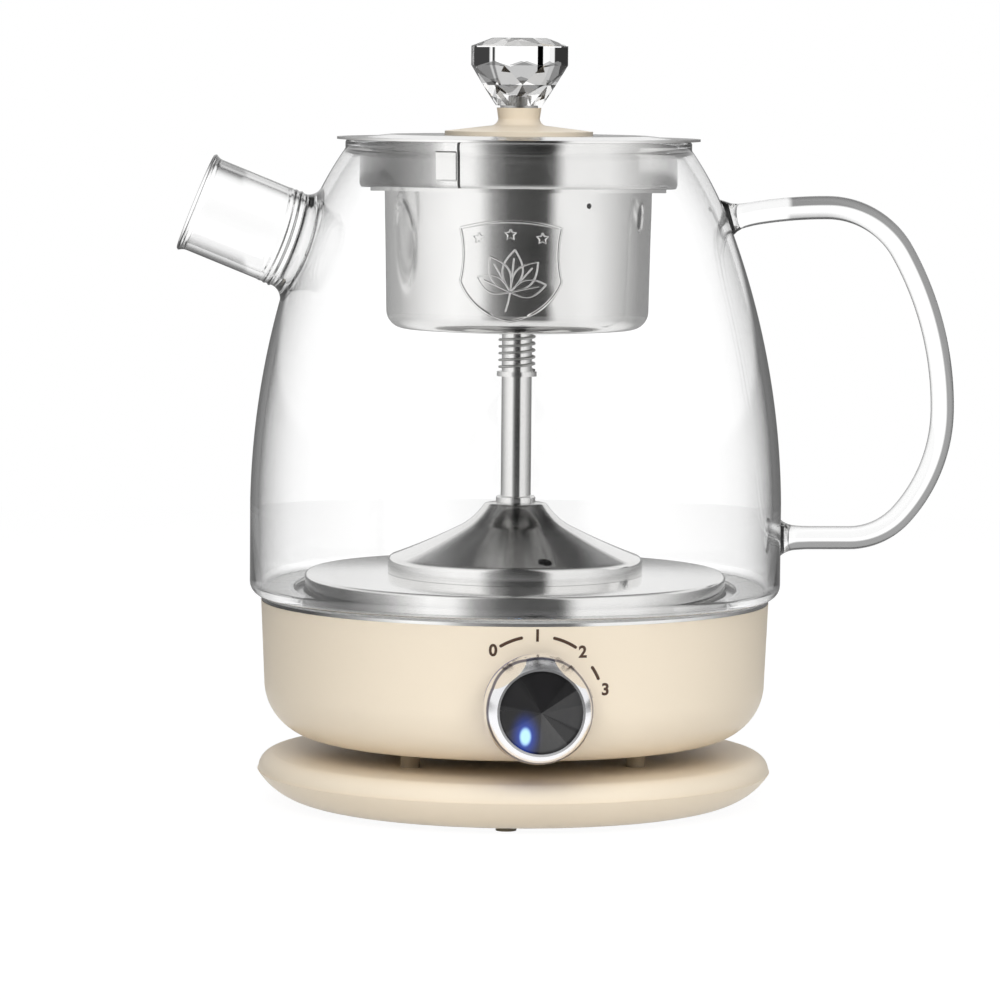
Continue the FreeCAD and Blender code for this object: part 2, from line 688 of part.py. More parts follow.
jug_feet = new_body("jug_feet")
ring_of(jug_feet, [
    rod(jug_feet, size.jug_foot_circle, 0.0, size.jug_foot_radius,
        size.base_top_height, under),
], FEET)
place(jug_feet, 0.0, 0.0, 0.0, Rotation(Vector(0, 0, 1), 45.0))
pieces["jug_feet"] = jug_feet

# The socket cup hangs over the connector post.
socket_bore = size.socket_radius - size.socket_wall
socket_top = size.socket_roof_height + size.socket_wall
turned_piece("coupler_socket", [
    (size.centre_pin_radius, size.socket_roof_height),
    (socket_bore, size.socket_roof_height),
    (socket_bore, under),
    (size.socket_radius, under),
    (size.socket_radius, housing_floor),
    (size.socket_flange_radius, housing_floor),
    (size.socket_flange_radius, housing_floor + 1.6),
    (size.socket_radius, housing_floor + 1.6),
    (size.socket_radius, socket_top),
    (size.centre_pin_radius, socket_top),
])
turned_piece("coupler_pin", [
    (0.0, contact_floor + 2.0),
    (size.centre_pin_radius - 0.6, contact_floor + 2.0),
    (size.centre_pin_radius, contact_floor + 2.6),
    (size.centre_pin_radius, socket_top),
    (size.centre_pin_radius + 1.2, socket_top),
    (size.centre_pin_radius + 1.2, socket_top + 1.4),
    (0.0, socket_top + 1.4),
])

# ---------------------------------------------------------------- heating plate
sheet_low = size.plate_flange_height - size.plate_thickness
plateau_under = size.plateau_height - size.plate_thickness
inner_bend = size.plate_bend - size.plate_thickness
turned_piece("heating_plate", [
    (0.0, plateau_under),
    (size.plateau_radius - size.plate_bend, plateau_under),
    Arc(inner_bend, left=True),
    (size.plateau_radius - size.plate_thickness, size.plateau_height - size.plate_bend),
    (size.plateau_radius - size.plate_thickness, sheet_low),
    (size.plate_radius, sheet_low),
    (size.plate_radius, size.plate_flange_height),
    (size.plateau_radius, size.plate_flange_height),
    (size.plateau_radius, size.plateau_height - size.plate_bend),
    Arc(size.plate_bend),
    (size.plateau_radius - size.plate_bend, size.plateau_height),
    (0.0, size.plateau_height),
])
spreader_under = plateau_under - size.spreader_thickness
turned_piece("heat_spreader", [
    (0.0, spreader_under),
    (size.spreader_radius, spreader_under),
    (size.spreader_radius, plateau_under),
    (0.0, plateau_under),
])
half_width = size.element_width / 2
element_floor = spreader_under - size.element_width
element = new_body("heating_element")
turn(element, [
    (size.element_circle - half_width, spreader_under),
    (size.element_circle - half_width, spreader_under - half_width),
    Arc(half_width),
    (size.element_circle, element_floor),
    Arc(half_width),
    (size.element_circle + half_width, spreader_under - half_width),
    (size.element_circle + half_width, spreader_under),
], size.element_arc)
place(element, 0.0, 0.0, 0.0, Rotation(Vector(0, 0, 1), 120.0))
element_ends = doc.addObject("Part::Feature", "element_ends")
tails = []
for bearing in (123.0, 120.0 + float(size.element_arc) - 3.0):
    spot = spoke(bearing) * float(size.element_circle)
    top = float(spreader_under) - float(half_width)
    spot.z = top - float(size.element_tail)
    tails.append(Part.makeCylinder(1.9, float(size.element_tail), spot))
element_ends.Shape = Part.makeCompound(tails)
element_joined = doc.addObject("Part::MultiFuse", "heating_element_joined")
element_joined.Shapes = [element, element_ends]
pieces["heating_element"] = element_joined

thermostats = new_body("thermostats")
for side in (-1, 1):
    rod(thermostats, side * size.thermostat_offset, 0.0, size.thermostat_radius,
        spreader_under - size.thermostat_height, spreader_under)
pieces["thermostats"] = thermostats

control_board = new_body("control_board")
board_sketch = new_sketch(control_board, "XY_Plane", size.board_height)
half_board = size.board_width / 2
board_front = size.board_centre - size.board_depth / 2
board_back = size.board_centre + size.board_depth / 2
outline(board_sketch, [
    (-half_board, board_front),
    (half_board, board_front),
    (half_board, board_back),
    (-half_board, board_back),
])
extrude(control_board, board_sketch, size.board_thickness)
pieces["control_board"] = control_board
board_posts = new_body("board_posts")
for x in (-(half_board - 4.0), half_board - 4.0):
    for y in (board_front + 4.0, board_back - 4.0):
        rod(board_posts, x, y, size.board_post_radius, housing_floor, size.board_height)
pieces["board_posts"] = board_posts

# ---------------------------------------------------------------- glass jug
foot = size.glass_foot_height
side_start = foot + size.glass_foot_arc
lip_radius = size.glass_radius - size.glass_foot_arc - size.glass_foot_lip
rim = size.neck_top_height
neck_base = rim - size.neck_rise
shoulder = neck_base - size.shoulder_drop
belly = foot + size.belly_rise


def glass_outside(inner):
    """The outer line of the glass from its foot to its rim, closed along the given points."""
    return [
        (size.glass_radius - size.glass_foot_arc, foot),
        Arc(size.glass_foot_arc),
        (size.glass_radius, side_start),
        (size.glass_radius, belly),
        Arc(size.side_arc),
        (size.shoulder_radius, shoulder),
        Arc(size.shoulder_arc),
        (size.neck_radius, neck_base),
        (size.neck_radius, rim),
    ] + inner


bore_side = size.glass_radius - size.glass_wall
glass_shell = new_body("glass_shell")
turn(glass_shell, glass_outside([
    (size.neck_bore_radius, rim),
    (size.neck_bore_radius, neck_base),
    Arc(size.shoulder_arc, left=True),
    (size.shoulder_radius - size.glass_wall * 1.1, shoulder),
    Arc(size.side_arc, left=True),
    (bore_side, belly),
    (bore_side, side_start + 0.6),
    Arc(size.glass_foot_arc, left=True),
    (bore_side - size.glass_foot_arc, foot + 1.6),
    (lip_radius, foot + 1.6),
    (lip_radius, foot),
]))
glass_block = new_body("glass_block")
turn(glass_block, glass_outside([(0.0, rim), (0.0, foot)]))

rise = math.radians(float(size.spout_rise))
spout_way = Vector(-math.cos(rise), 0, math.sin(rise))
mouth_height = shoulder + size.spout_mouth_rise
spout_mouth = Vector(-float(size.spout_mouth_reach), 0, float(mouth_height))
SPOUT_LENGTH = 52.0
spout_start = spout_mouth - spout_way * SPOUT_LENGTH
SPOUT_TILT = Rotation(Vector(0, 1, 0), float(size.spout_rise) - 90.0)
spout_bore = size.spout_radius - size.spout_wall
bore_tool = cylinder("spout_bore_tool", spout_bore, SPOUT_LENGTH)
place(bore_tool, spout_start.x, 0.0, spout_start.z, SPOUT_TILT)
# The wall is one glass, in two solids that meet at a level seam.
seam = belly + size.glass_seam_rise
above_seam = cylinder("above_seam", size.glass_radius + 1.0, rim)
place(above_seam, z=seam)
below_seam = cylinder("below_seam", size.glass_radius + 1.0, seam)
cut_piece("glass_body", glass_shell, [above_seam])
cut_piece("glass_shoulder", glass_shell, [below_seam, bore_tool])

# The fused bead at the root starts inside the wall and ends a few millimetres outside it.
spout_bead = size.spout_radius + size.spout_weld
bead_end = SPOUT_LENGTH - size.spout_weld_reach
spout_tube = new_body("spout_tube")
turn(spout_tube, [
    (spout_bore, 20.0),
    (spout_bead, 20.0),
    (spout_bead, bead_end - size.spout_weld),
    Arc(size.spout_weld),
    (size.spout_radius, bead_end),
    (size.spout_radius, SPOUT_LENGTH - 2.6),
    (size.spout_radius + size.spout_lip, SPOUT_LENGTH - 0.7),
    (size.spout_radius + size.spout_lip, SPOUT_LENGTH),
    (spout_bore, SPOUT_LENGTH),
])
place(spout_tube, spout_start.x, 0.0, spout_start.z, SPOUT_TILT)
cut_piece("glass_spout", spout_tube, [glass_block])


UPPER_ROOT_DEPTH = 4.5


def handle_line():
    """The rod's centre line: arcs that run on into each other, then a straight end."""
    heading = float(size.handle_lean)
    point = Vector(float(size.handle_root_reach), 0, float(shoulder + size.handle_root_rise))
    foot_turn = 180.0 - sum(
        float(turned) for turned in (
            size.handle_top_turn, size.handle_back_turn, size.handle_lower_turn)
    )
    bends = (
        (size.handle_crest_arc, size.handle_lean),
        (size.handle_top_arc, size.handle_top_turn),
        (size.handle_back_arc, size.handle_back_turn),
        (size.handle_lower_arc, size.handle_lower_turn),
        (size.handle_foot_arc, foot_turn),
    )
    edges = []
    for radius, turned in bends:
        radius, turned = float(radius), float(turned)
        side = math.radians(heading - 90)
        centre = point + Vector(math.cos(side), 0, math.sin(side)) * radius
        stops = []
        for part in (0.5, 1.0):
            at = math.radians(heading + 90 - turned * part)
            stops.append(centre + Vector(math.cos(at), 0, math.sin(at)) * radius)
        edges.append(Part.Arc(point, *stops).toShape())
        point, heading = stops[1], heading - turned
    root = Vector(float(bore_side), 0, point.z)
    edges.append(Part.makeLine(point, root))
    return edges, root


def handle_weld(root, way, buried):
    """The flare where the rod is fused to the glass, widening towards the jug."""
    flare = float(size.handle_weld_radius)
    length = float(size.handle_weld_length)
    inner = Part.makeCylinder(flare, buried, root, way)
    cone = Part.makeCone(flare, float(size.handle_radius), length, root + way * buried, way)
    return [inner, cone]


handle_edges, lower_root = handle_line()
rod_path = Part.Wire(handle_edges)
rod_start = handle_edges[0].Vertexes[0].Point
lean = math.radians(float(size.handle_lean))
rod_way = Vector(math.cos(lean), 0, math.sin(lean))
rod_circle = Part.Wire([Part.makeCircle(float(size.handle_radius), rod_start, rod_way)])
handle_rod = doc.addObject("Part::Feature", "handle_rod")
rod_sweep = rod_path.makePipeShell([rod_circle], True, False)
handle_rod.Shape = rod_sweep.fuse(
    handle_weld(rod_start, rod_way, UPPER_ROOT_DEPTH)
    + handle_weld(lower_root, Vector(1, 0, 0), float(size.glass_radius) - lower_root.x)
)
cut_piece("glass_handle", handle_rod, [glass_block])

turned_piece("jug_seal", [
    (lip_radius + 1.0, size.plate_flange_height),
    (size.glass_radius - size.glass_foot_arc, size.plate_flange_height),
    (size.glass_radius - size.glass_foot_arc, foot),
    (lip_radius + 1.0, foot),
])

# ---------------------------------------------------------------- knob and switch
# Pieces on the knob's axis are turned round their own Z, which then faces the front.
knob_back = size.knob_back
knob_front = size.knob_back + size.knob_depth


def face_front(thing, depth=0.0):
    place(thing, 0.0, -depth if isinstance(depth, Size) else 0.0, size.knob_height,
          FACING_FRONT)


light_ring = new_body("light_ring_blank")
turn(light_ring, [
    (size.bushing_radius + 0.4, size.housing_low_radius - 4.0),
    (size.ring_radius, size.housing_low_radius - 4.0),
    (size.ring_radius, size.ring_front - 0.6),
    Arc(0.6),
    (size.ring_radius - 0.6, size.ring_front),
    (size.bushing_radius + 0.4, size.ring_front),
])
face_front(light_ring)
housing_block = new_body("housing_block")
turn(housing_block, [
    (0.0, under),
    (corner_radius, under),
    Arc(size.housing_corner_arc),
    (size.housing_low_radius, under + size.housing_corner_arc),
    (size.housing_radius, size.housing_top_height),
    (0.0, size.housing_top_height),
])
led_hole = cylinder("led_hole", size.led_radius + 0.05, 20.0)
place(led_hole, -size.led_side, -(size.housing_low_radius - 6.0),
      size.knob_height - size.led_drop, FACING_FRONT)
cut_piece("light_ring", light_ring, [housing_block, led_hole])

gem_front = knob_front - size.gem_sink
gem_seat = gem_front - size.gem_depth
knob_shell = new_body("knob_shell_blank")
turn(knob_shell, [
    (size.shaft_radius, knob_back + 1.6),
    (size.shaft_radius + 2.0, knob_back + 1.6),
    (size.shaft_radius + 2.0, gem_seat - 2.0),
    (size.knob_radius - size.knob_wall, gem_seat - 2.0),
    (size.knob_radius - size.knob_wall, knob_back),
    (size.knob_radius - size.knob_tuck, knob_back),
    (size.knob_radius, knob_front - size.knob_bow),
    Arc(size.knob_bow_arc),
    (size.gem_radius + size.knob_bezel, knob_front),
    (size.gem_radius, knob_front),
    (size.gem_radius, gem_seat),
    (size.shaft_radius, gem_seat),
])
face_front(knob_shell)
# Two leaning flats leave a raised pointer between them at the top of the rim.
flat_tools = []
for side in (-1, 1):
    turned = math.radians(side * float(size.flat_angle))
    outward = Vector(math.sin(turned), 0, math.cos(turned))
    lean = math.radians(float(size.flat_lean))
    tool = cylinder(f"flat_tool{side}", size.knob_radius, size.knob_radius)
    spot = outward * float(size.flat_distance)
    place(tool, spot.x, -knob_front, size.knob_height + spot.z,
          Rotation(Vector(0, 0, 1), outward * math.cos(lean) + Vector(0, -math.sin(lean), 0)))
    flat_tools.append(tool)
cut_piece("knob_shell", knob_shell, flat_tools)

knob_shaft = turned_piece("knob_shaft", [
    (0.0, size.housing_low_radius - size.housing_wall - size.switch_depth + 3.0),
    (size.shaft_radius, size.housing_low_radius - size.housing_wall - size.switch_depth + 3.0),
    (size.shaft_radius, gem_seat),
    (0.0, gem_seat),
])
face_front(knob_shaft)


def facet_solid(rings, tip=None):
    """A closed solid of flat facets between rings of corners, from the first to the last."""
    faces = []

    def facet(*corners):
        faces.append(Part.Face(Part.makePolygon(list(corners) + [corners[0]])))

    for low, high in zip(rings, rings[1:]):
        count = len(low)
        lead = math.atan2(high[0].y, high[0].x) - math.atan2(low[0].y, low[0].x)
        for index in range(count):
            after = (index + 1) % count
            if abs(lead) < 1e-6:
                facet(low[index], low[after], high[after], high[index])
            elif lead > 0:
                facet(low[index], low[after], high[index])
                facet(low[after], high[after], high[index])
            else:
                facet(low[index], low[after], high[after])
                facet(low[index], high[after], high[index])
    if tip is None:
        facet(*rings[-1])
    else:
        for index, corner in enumerate(rings[-1]):
            facet(corner, rings[-1][(index + 1) % len(rings[-1])], tip)
    facet(*reversed(rings[0]))
    return Part.Solid(Part.Shell(faces))


def corners(radius, height, count, shift=0.0):
    """One ring of corners. shift is counted in steps of the ring."""
    ring = []
    for index in range(count):
        spot = spoke((index + shift) * 360.0 / count) * float(radius)
        ring.append(spot + Vector(0, 0, float(height)))
    return ring


# The dark face is a low pyramid of facets, turned round to fit its seat.
gem_corner = float(size.gem_radius) / math.cos(math.pi / GEM_FACETS) + 0.2
gem_blank = doc.addObject("Part::Feature", "gem_blank")
gem_blank.Shape = facet_solid([
    corners(gem_corner, gem_seat, GEM_FACETS, 0.25),
    corners(gem_corner, gem_front, GEM_FACETS, 0.25),
], tip=Vector(0, 0, float(gem_front + size.gem_rise)))
face_front(gem_blank)
gem_round = cylinder("gem_round", size.gem_radius, size.knob_depth)
place(gem_round, 0.0, -gem_seat, size.knob_height, FACING_FRONT)
knob_gem = doc.addObject("Part::Common", "knob_gem")
knob_gem.Base = gem_blank
knob_gem.Tool = gem_round
pieces["knob_gem"] = knob_gem

bushing_end = size.housing_low_radius - 0.6
switch_front = size.housing_low_radius - size.housing_wall - 0.6
rotary_switch = new_body("rotary_switch_blank")
switch_face = new_sketch(rotary_switch, "XY_Plane", switch_front - size.switch_depth)
half_switch = size.switch_width / 2
outline(switch_face, [
    (-half_switch, -half_switch),
    (half_switch, -half_switch),
    (half_switch, half_switch),
    (-half_switch, half_switch),
])
extrude(rotary_switch, switch_face, size.switch_depth)
rod(rotary_switch, 0.0, 0.0, size.bushing_radius, switch_front, bushing_end)
rod(rotary_switch, 0.0, 0.0, size.shaft_radius + size.shaft_gap,
    size.housing_low_radius - size.housing_wall - size.switch_depth + 2.0,
    bushing_end + 1.0, cut=True)
face_front(rotary_switch)
housing_bore = new_body("housing_bore")
turn(housing_bore, [
    (corner_radius, housing_floor),
    (size.housing_radius + 20.0, housing_floor),
    (size.housing_radius + 20.0, size.housing_top_height),
    (size.housing_radius - size.housing_wall, size.housing_top_height),
    (size.housing_low_radius - size.housing_wall, under + size.housing_corner_arc),
    Arc(size.housing_corner_arc - size.housing_wall, left=True),
])
bushing_tool = cylinder("bushing_tool", size.bushing_radius, 20.0)
place(bushing_tool, 0.0, -(size.housing_low_radius - 16.0), size.knob_height, FACING_FRONT)
wall_only = doc.addObject("Part::Cut", "wall_without_bushing")
wall_only.Base = housing_bore
wall_only.Tool = bushing_tool
cut_piece("rotary_switch", rotary_switch, [wall_only])

# The lamp stands in a hole of the light ring, below and left of the shaft.
led = turned_piece("led", [
    (0.0, 0.0),
    (size.led_radius, 0.0),
    (size.led_radius, 3.6),
    Arc(size.led_radius),
    (0.0, size.led_radius + 3.6),
])
place(led, -size.led_side, -(size.housing_low_radius - 0.9),
      size.knob_height - size.led_drop, FACING_FRONT)

# ---------------------------------------------------------------- lid
lid_top = rim + size.lid_sheet
lid_crown = lid_top + size.lid_crown_rise
crown_under = lid_crown - size.lid_sheet
rim_inner = size.lid_radius - size.lid_rim_width
turned_piece("lid_plate", [
    (size.stud_radius, crown_under),
    (size.lid_crown_radius, crown_under),
    (rim_inner, rim),
    (size.lid_radius, rim),
    (size.lid_radius, lid_top),
    (rim_inner, lid_top),
    (size.lid_crown_radius, lid_crown),
    (size.stud_radius, lid_crown),
])
skirt_bore = size.skirt_radius - size.lid_sheet
skirt_low = rim - size.skirt_drop
turned_piece("lid_skirt", [
    (skirt_bore, skirt_low),
    (size.skirt_radius, skirt_low),
    (size.skirt_radius, rim - size.lid_sheet),
    (size.band_radius - 0.2, rim - size.lid_sheet),
    (size.band_radius - 0.2, rim),
    (rim_inner, rim),
    (rim_inner - 0.3, rim - 0.1),
    (skirt_bore, rim - 0.1),
])
band_bore = size.band_radius - size.band_sheet
band_low = rim - size.band_drop
spring_band = turned_piece("spring_band", [
    (size.skirt_radius + 0.2, band_low),
    (size.band_radius - 1.2, band_low),
    Arc(1.2),
    (size.band_radius, band_low + 1.2),
    (size.band_radius, rim - size.lid_sheet),
    (band_bore, rim - size.lid_sheet),
    (band_bore, band_low + 1.2),
    Arc(1.2 - size.band_sheet, left=True),
    (size.band_radius - 1.2, band_low + size.band_sheet),
    (size.skirt_radius + 0.2, band_low + size.band_sheet),
], 360.0 - size.band_split)
split_end = float(size.band_split_angle) + float(size.band_split) / 2
place(spring_band, 0.0, 0.0, 0.0, Rotation(Vector(0, 0, 1), split_end))

disc_top = lid_crown + size.disc_rise
collar_top = disc_top + size.collar_rise
turned_piece("lid_disc", [
    (size.stud_radius, lid_crown),
    (size.disc_radius, lid_crown),
    (size.disc_radius, lid_crown + size.disc_rim),
    (size.collar_radius + 2.0, disc_top),
    Arc(2.2, left=True),
    (size.collar_waist, disc_top + 1.8),
    (size.collar_radius, collar_top),
    (size.stud_radius, collar_top),
])
crystal_foot = collar_top + size.crystal_washer
crystal_mid = crystal_foot + size.crystal_mid_rise
girdle_low = crystal_mid + size.crystal_girdle_rise
girdle_top = girdle_low + size.crystal_girdle_width
turned_piece("crystal_seat", [
    (size.stud_radius, collar_top),
    (size.collar_waist - 0.5, collar_top),
    (size.collar_waist - 0.5, crystal_foot),
    (size.stud_radius, crystal_foot),
])
crystal_blank = doc.addObject("Part::Feature", "crystal_blank")
crystal_blank.Shape = facet_solid([
    corners(size.crystal_foot_radius, crystal_foot, FACETS, 0.5),
    corners(size.crystal_mid_radius, crystal_mid, FACETS),
    corners(size.crystal_girdle_radius, girdle_low, FACETS, 0.5),
    corners(size.crystal_girdle_radius, girdle_top, FACETS, 0.5),
    corners(size.crystal_table_radius, girdle_top + size.crystal_crown_rise, FACETS, 0.5),
])
stud_tool = cylinder("stud_tool", size.stud_radius, size.stud_length)
place(stud_tool, 0.0, 0.0, crystal_foot)
cut_piece("crystal_knob", crystal_blank, [stud_tool])
nut_under = crown_under - size.nut_height
turned_piece("knob_stud", [
    (0.0, nut_under - 0.6),
    (size.stud_radius, nut_under - 0.6),
    (size.stud_radius, crystal_foot + size.stud_length),
    (0.0, crystal_foot + size.stud_length),
])
lid_nut = new_body("lid_nut")
nut_sketch = new_sketch(lid_nut, "XY_Plane", nut_under)
half_nut = size.nut_width / 2
nut_point = size.nut_width / math.sqrt(3.0)
outline(nut_sketch, [
    (nut_point, 0.0),
    (nut_point / 2, half_nut),
    (-(nut_point / 2), half_nut),
    (-nut_point, 0.0),
    (-(nut_point / 2), -half_nut),
    (nut_point / 2, -half_nut),
])
circle(nut_sketch, 0.0, 0.0, size.stud_radius)
extrude(lid_nut, nut_sketch, size.nut_height)
pieces["lid_nut"] = lid_nut

# ---------------------------------------------------------------- tea basket
collar_rim = rim - size.basket_collar_drop
collar_step = collar_rim - size.basket_collar_width
floor = collar_step - size.basket_depth
sheet_up = floor + size.basket_sheet
shoulder_under = collar_step - size.basket_sheet
corner = size.basket_corner_arc
cup = new_body("basket_wall")
turn(cup, [
    (size.filter_lip, floor),
    (size.basket_low_radius - corner, floor),
    Arc(corner),
    (size.basket_low_radius, floor + corner),
    (size.basket_radius, shoulder_under),
    (size.basket_collar_radius, shoulder_under),
    (size.basket_collar_radius, collar_rim),
    (size.basket_collar_radius - size.basket_sheet, collar_rim),
    (size.basket_collar_radius - size.basket_sheet, collar_step),
    (size.basket_radius - size.basket_sheet, collar_step),
    (size.basket_low_radius - size.basket_sheet, floor + corner),
    Arc(corner - size.basket_sheet, left=True),
    (size.basket_low_radius - corner, sheet_up),
    (size.filter_lip, sheet_up),
])


def shield_face(half, tall):
    """The badge's outline: a bowed top, hollow sides and a rounded point."""
    top, low = tall / 2, -tall / 2
    waist = half * 0.93
    left_top, right_top = Vector(-half, top * 0.86, 0), Vector(half, top * 0.86, 0)
    left_low, right_low = Vector(-half, -top * 0.22, 0), Vector(half, -top * 0.22, 0)
    point = Vector(0, low, 0)
    edges = [
        Part.Arc(left_top, Vector(0, top, 0), right_top).toShape(),
        Part.Arc(right_top, Vector(waist, top * 0.3, 0), right_low).toShape(),
        Part.Arc(right_low, Vector(half * 0.66, low * 0.72, 0), point).toShape(),
        Part.Arc(point, Vector(-half * 0.66, low * 0.72, 0), left_low).toShape(),
        Part.Arc(left_low, Vector(-waist, top * 0.3, 0), left_top).toShape(),
    ]
    return Part.Face(Part.Wire(edges))


badge_blank = doc.addObject("Part::Feature", "badge_blank")
badge_blank.Shape = shield_face(
    float(size.badge_width) / 2, float(size.badge_height)
).extrude(Vector(0, 0, 20.0))
badge_way = spoke(float(size.badge_angle))
badge_turn = Rotation(Vector(0, 0, 1), float(size.badge_angle) + 90.0)
place(badge_blank, badge_way.x * 24.0, badge_way.y * 24.0, floor + size.badge_rise,
      badge_turn.multiply(FACING_FRONT))
badge_shell = new_body("badge_shell")
turn(badge_shell, [
    (size.basket_low_radius - 0.3, floor + corner),
    (size.basket_low_radius + size.badge_relief, floor + corner),
    (size.basket_radius + size.badge_relief, shoulder_under),
    (size.basket_radius - 0.3, shoulder_under),
])
badge = doc.addObject("Part::Common", "badge")
badge.Base = badge_blank
badge.Tool = badge_shell
cup_with_badge = doc.addObject("Part::Fuse", "cup_with_badge")
cup_with_badge.Base = cup
cup_with_badge.Tool = badge
vent_tool = cylinder("vent_tool", size.basket_vent_radius, 20.0)
vent_way = spoke(float(size.basket_vent_angle)) * 26.0
place(vent_tool, vent_way.x, vent_way.y, collar_step - size.basket_vent_drop,
      Rotation(Vector(0, 0, 1), vent_way))
cut_piece("basket_cup", cup_with_badge, [vent_tool])

sleeve_bore = size.riser_radius + size.riser_gap
sleeve_outer = sleeve_bore + size.sleeve_wall
sleeve_top = floor + size.sleeve_rise
strainer = new_body("basket_strainer")
strainer_sketch = new_sketch(strainer, "XY_Plane", sheet_up)
circle(strainer_sketch, 0.0, 0.0, size.filter_lip + size.filter_overlap)
circle(strainer_sketch, 0.0, 0.0, sleeve_outer)
extrude(strainer, strainer_sketch, size.basket_sheet)
for filter_row in range(FILTER_ROWS):
    row_radius = size.filter_first + filter_row * size.filter_pitch
    hole = rod(strainer, row_radius, 0.0, size.filter_hole_radius,
               sheet_up - 0.5, sheet_up + size.basket_sheet + 0.5, cut=True)
    ring_of(strainer, [hole], 9 + 5 * filter_row)
pieces["basket_strainer"] = strainer

turned_piece("guide_sleeve", [
    (sleeve_bore, floor),
    (sleeve_outer + 1.6, floor),
    (sleeve_outer + 1.6, sheet_up),
    (sleeve_outer, sheet_up),
    (sleeve_outer, sleeve_top),
    (sleeve_bore, sleeve_top),
])

# ---------------------------------------------------------------- riser and bell
crown = size.bell_crown_height
crown_low = crown - size.bell_sheet
riser_top = sleeve_top + size.riser_reach
turned_piece("riser_tube", [
    (size.riser_bore, crown_low - 1.0),
    (size.riser_radius + 1.2, crown_low - 1.0),
    (size.riser_radius + 1.2, crown_low),
    (size.riser_radius, crown_low),
    (size.riser_radius, riser_top),
    (size.riser_bore, riser_top),
])
cap_low = riser_top - size.cap_drop
cap_top = riser_top + size.cap_rise
spray_cap = new_body("spray_cap_blank")
turn(spray_cap, [
    (size.riser_radius, cap_low),
    (size.cap_radius, cap_low),
    (size.cap_radius, cap_top),
    (0.0, cap_top),
    (0.0, cap_top - 1.0),
    (size.cap_radius - 0.9, cap_top - 1.0),
    (size.cap_radius - 0.9, cap_low + 1.2),
    (size.riser_radius, cap_low + 1.2),
])
spray_tools = []
for index in range(CAP_HOLES):
    tool = cylinder(f"spray_tool{index}", size.cap_hole_radius, 4.0)
    way = spoke(index * 360.0 / CAP_HOLES)
    place(tool, way.x * float(size.cap_radius - 2.4), way.y * float(size.cap_radius - 2.4),
          cap_low + 2.4, Rotation(Vector(0, 0, 1), way))
    spray_tools.append(tool)
cut_piece("spray_cap", spray_cap, spray_tools)

bell = new_body("steam_bell_blank")
turn(bell, [
    (size.riser_radius, crown_low),
    (size.bell_crown_radius - 0.4, crown_low),
    Arc(size.bell_flare_arc),
    (size.bell_radius - size.bell_sheet, size.bell_shoulder_height - size.bell_sheet),
    (size.bell_radius - size.bell_sheet, size.plateau_height),
    (size.bell_radius, size.plateau_height),
    (size.bell_radius, size.bell_shoulder_height),
    Arc(size.bell_flare_arc, left=True),
    (size.bell_crown_radius, crown - 0.5),
    Arc(0.9),
    (size.bell_crown_radius - 0.9, crown),
    (size.riser_radius, crown),
])
bell_tools = []
for index in range(BELL_HOLES):
    tool = cylinder(f"bell_tool{index}", size.bell_hole_radius, 20.0)
    way = spoke(float(size.bell_hole_angle) + index * 360.0 / BELL_HOLES)
    spot = way * float(size.bell_hole_circle)
    place(tool, spot.x, spot.y, size.bell_shoulder_height - 9.0)
    bell_tools.append(tool)
cut_piece("steam_bell", bell, bell_tools)
turned_piece("bell_ferrule", [
    (size.riser_radius, crown),
    (size.ferrule_radius, crown),
    (size.ferrule_radius, crown + size.ferrule_height - 0.5),
    Arc(0.5),
    (size.ferrule_radius - 0.5, crown + size.ferrule_height),
    (size.riser_radius, crown + size.ferrule_height),
])
washer_low = floor - size.washer_drop
washer_top = washer_low + size.washer_thickness
turned_piece("spring_washer", [
    (size.riser_radius, washer_low),
    (size.washer_radius, washer_low),
    (size.washer_radius, washer_top),
    (size.riser_radius, washer_top),
])


def coil_rings(radius, wire, low, high, turns):
    """Rings of corners round the wire of a coil, one after another up its turns."""
    rings = []
    steps = int(turns * COIL_STEPS)
    for step in range(steps + 1):
        way = spoke(step * 360.0 / COIL_STEPS)
        middle = way * radius + Vector(0, 0, low + (high - low) * step / steps)
        ring = []
        for side in range(COIL_SIDES):
            lean = -2 * math.pi * side / COIL_SIDES
            ring.append(middle + (way * math.cos(lean) + Vector(0, 0, math.sin(lean))) * wire)
        rings.append(ring)
    return rings


spring_wire = float(size.spring_wire)
riser_spring = doc.addObject("Part::Feature", "riser_spring")
riser_spring.Shape = facet_solid(coil_rings(
    float(size.spring_radius) - spring_wire, spring_wire,
    float(washer_top) + spring_wire, float(floor) - spring_wire, float(size.spring_turns)
))
pieces["riser_spring"] = riser_spring

# ---------------------------------------------------------------- check and write
doc.recompute()
for thing in doc.Objects:
    if {"Invalid", "Error"} & set(thing.State):
        raise RuntimeError(f"{thing.Name} failed: {thing.State}")
os.makedirs("parts", exist_ok=True)
for label, piece in pieces.items():
    shape = piece.Shape
    if shape.isNull() or not shape.isValid() or not shape.Solids:
        raise RuntimeError(f"{label} has no valid solid")
    shape.exportStep(f"parts/{label}.step")
print(f"{len(pieces)} sub-parts written")
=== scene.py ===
import math

import bmesh
import bpy
from bpy.props import FloatProperty, FloatVectorProperty, PointerProperty
from mathutils import Matrix, Vector


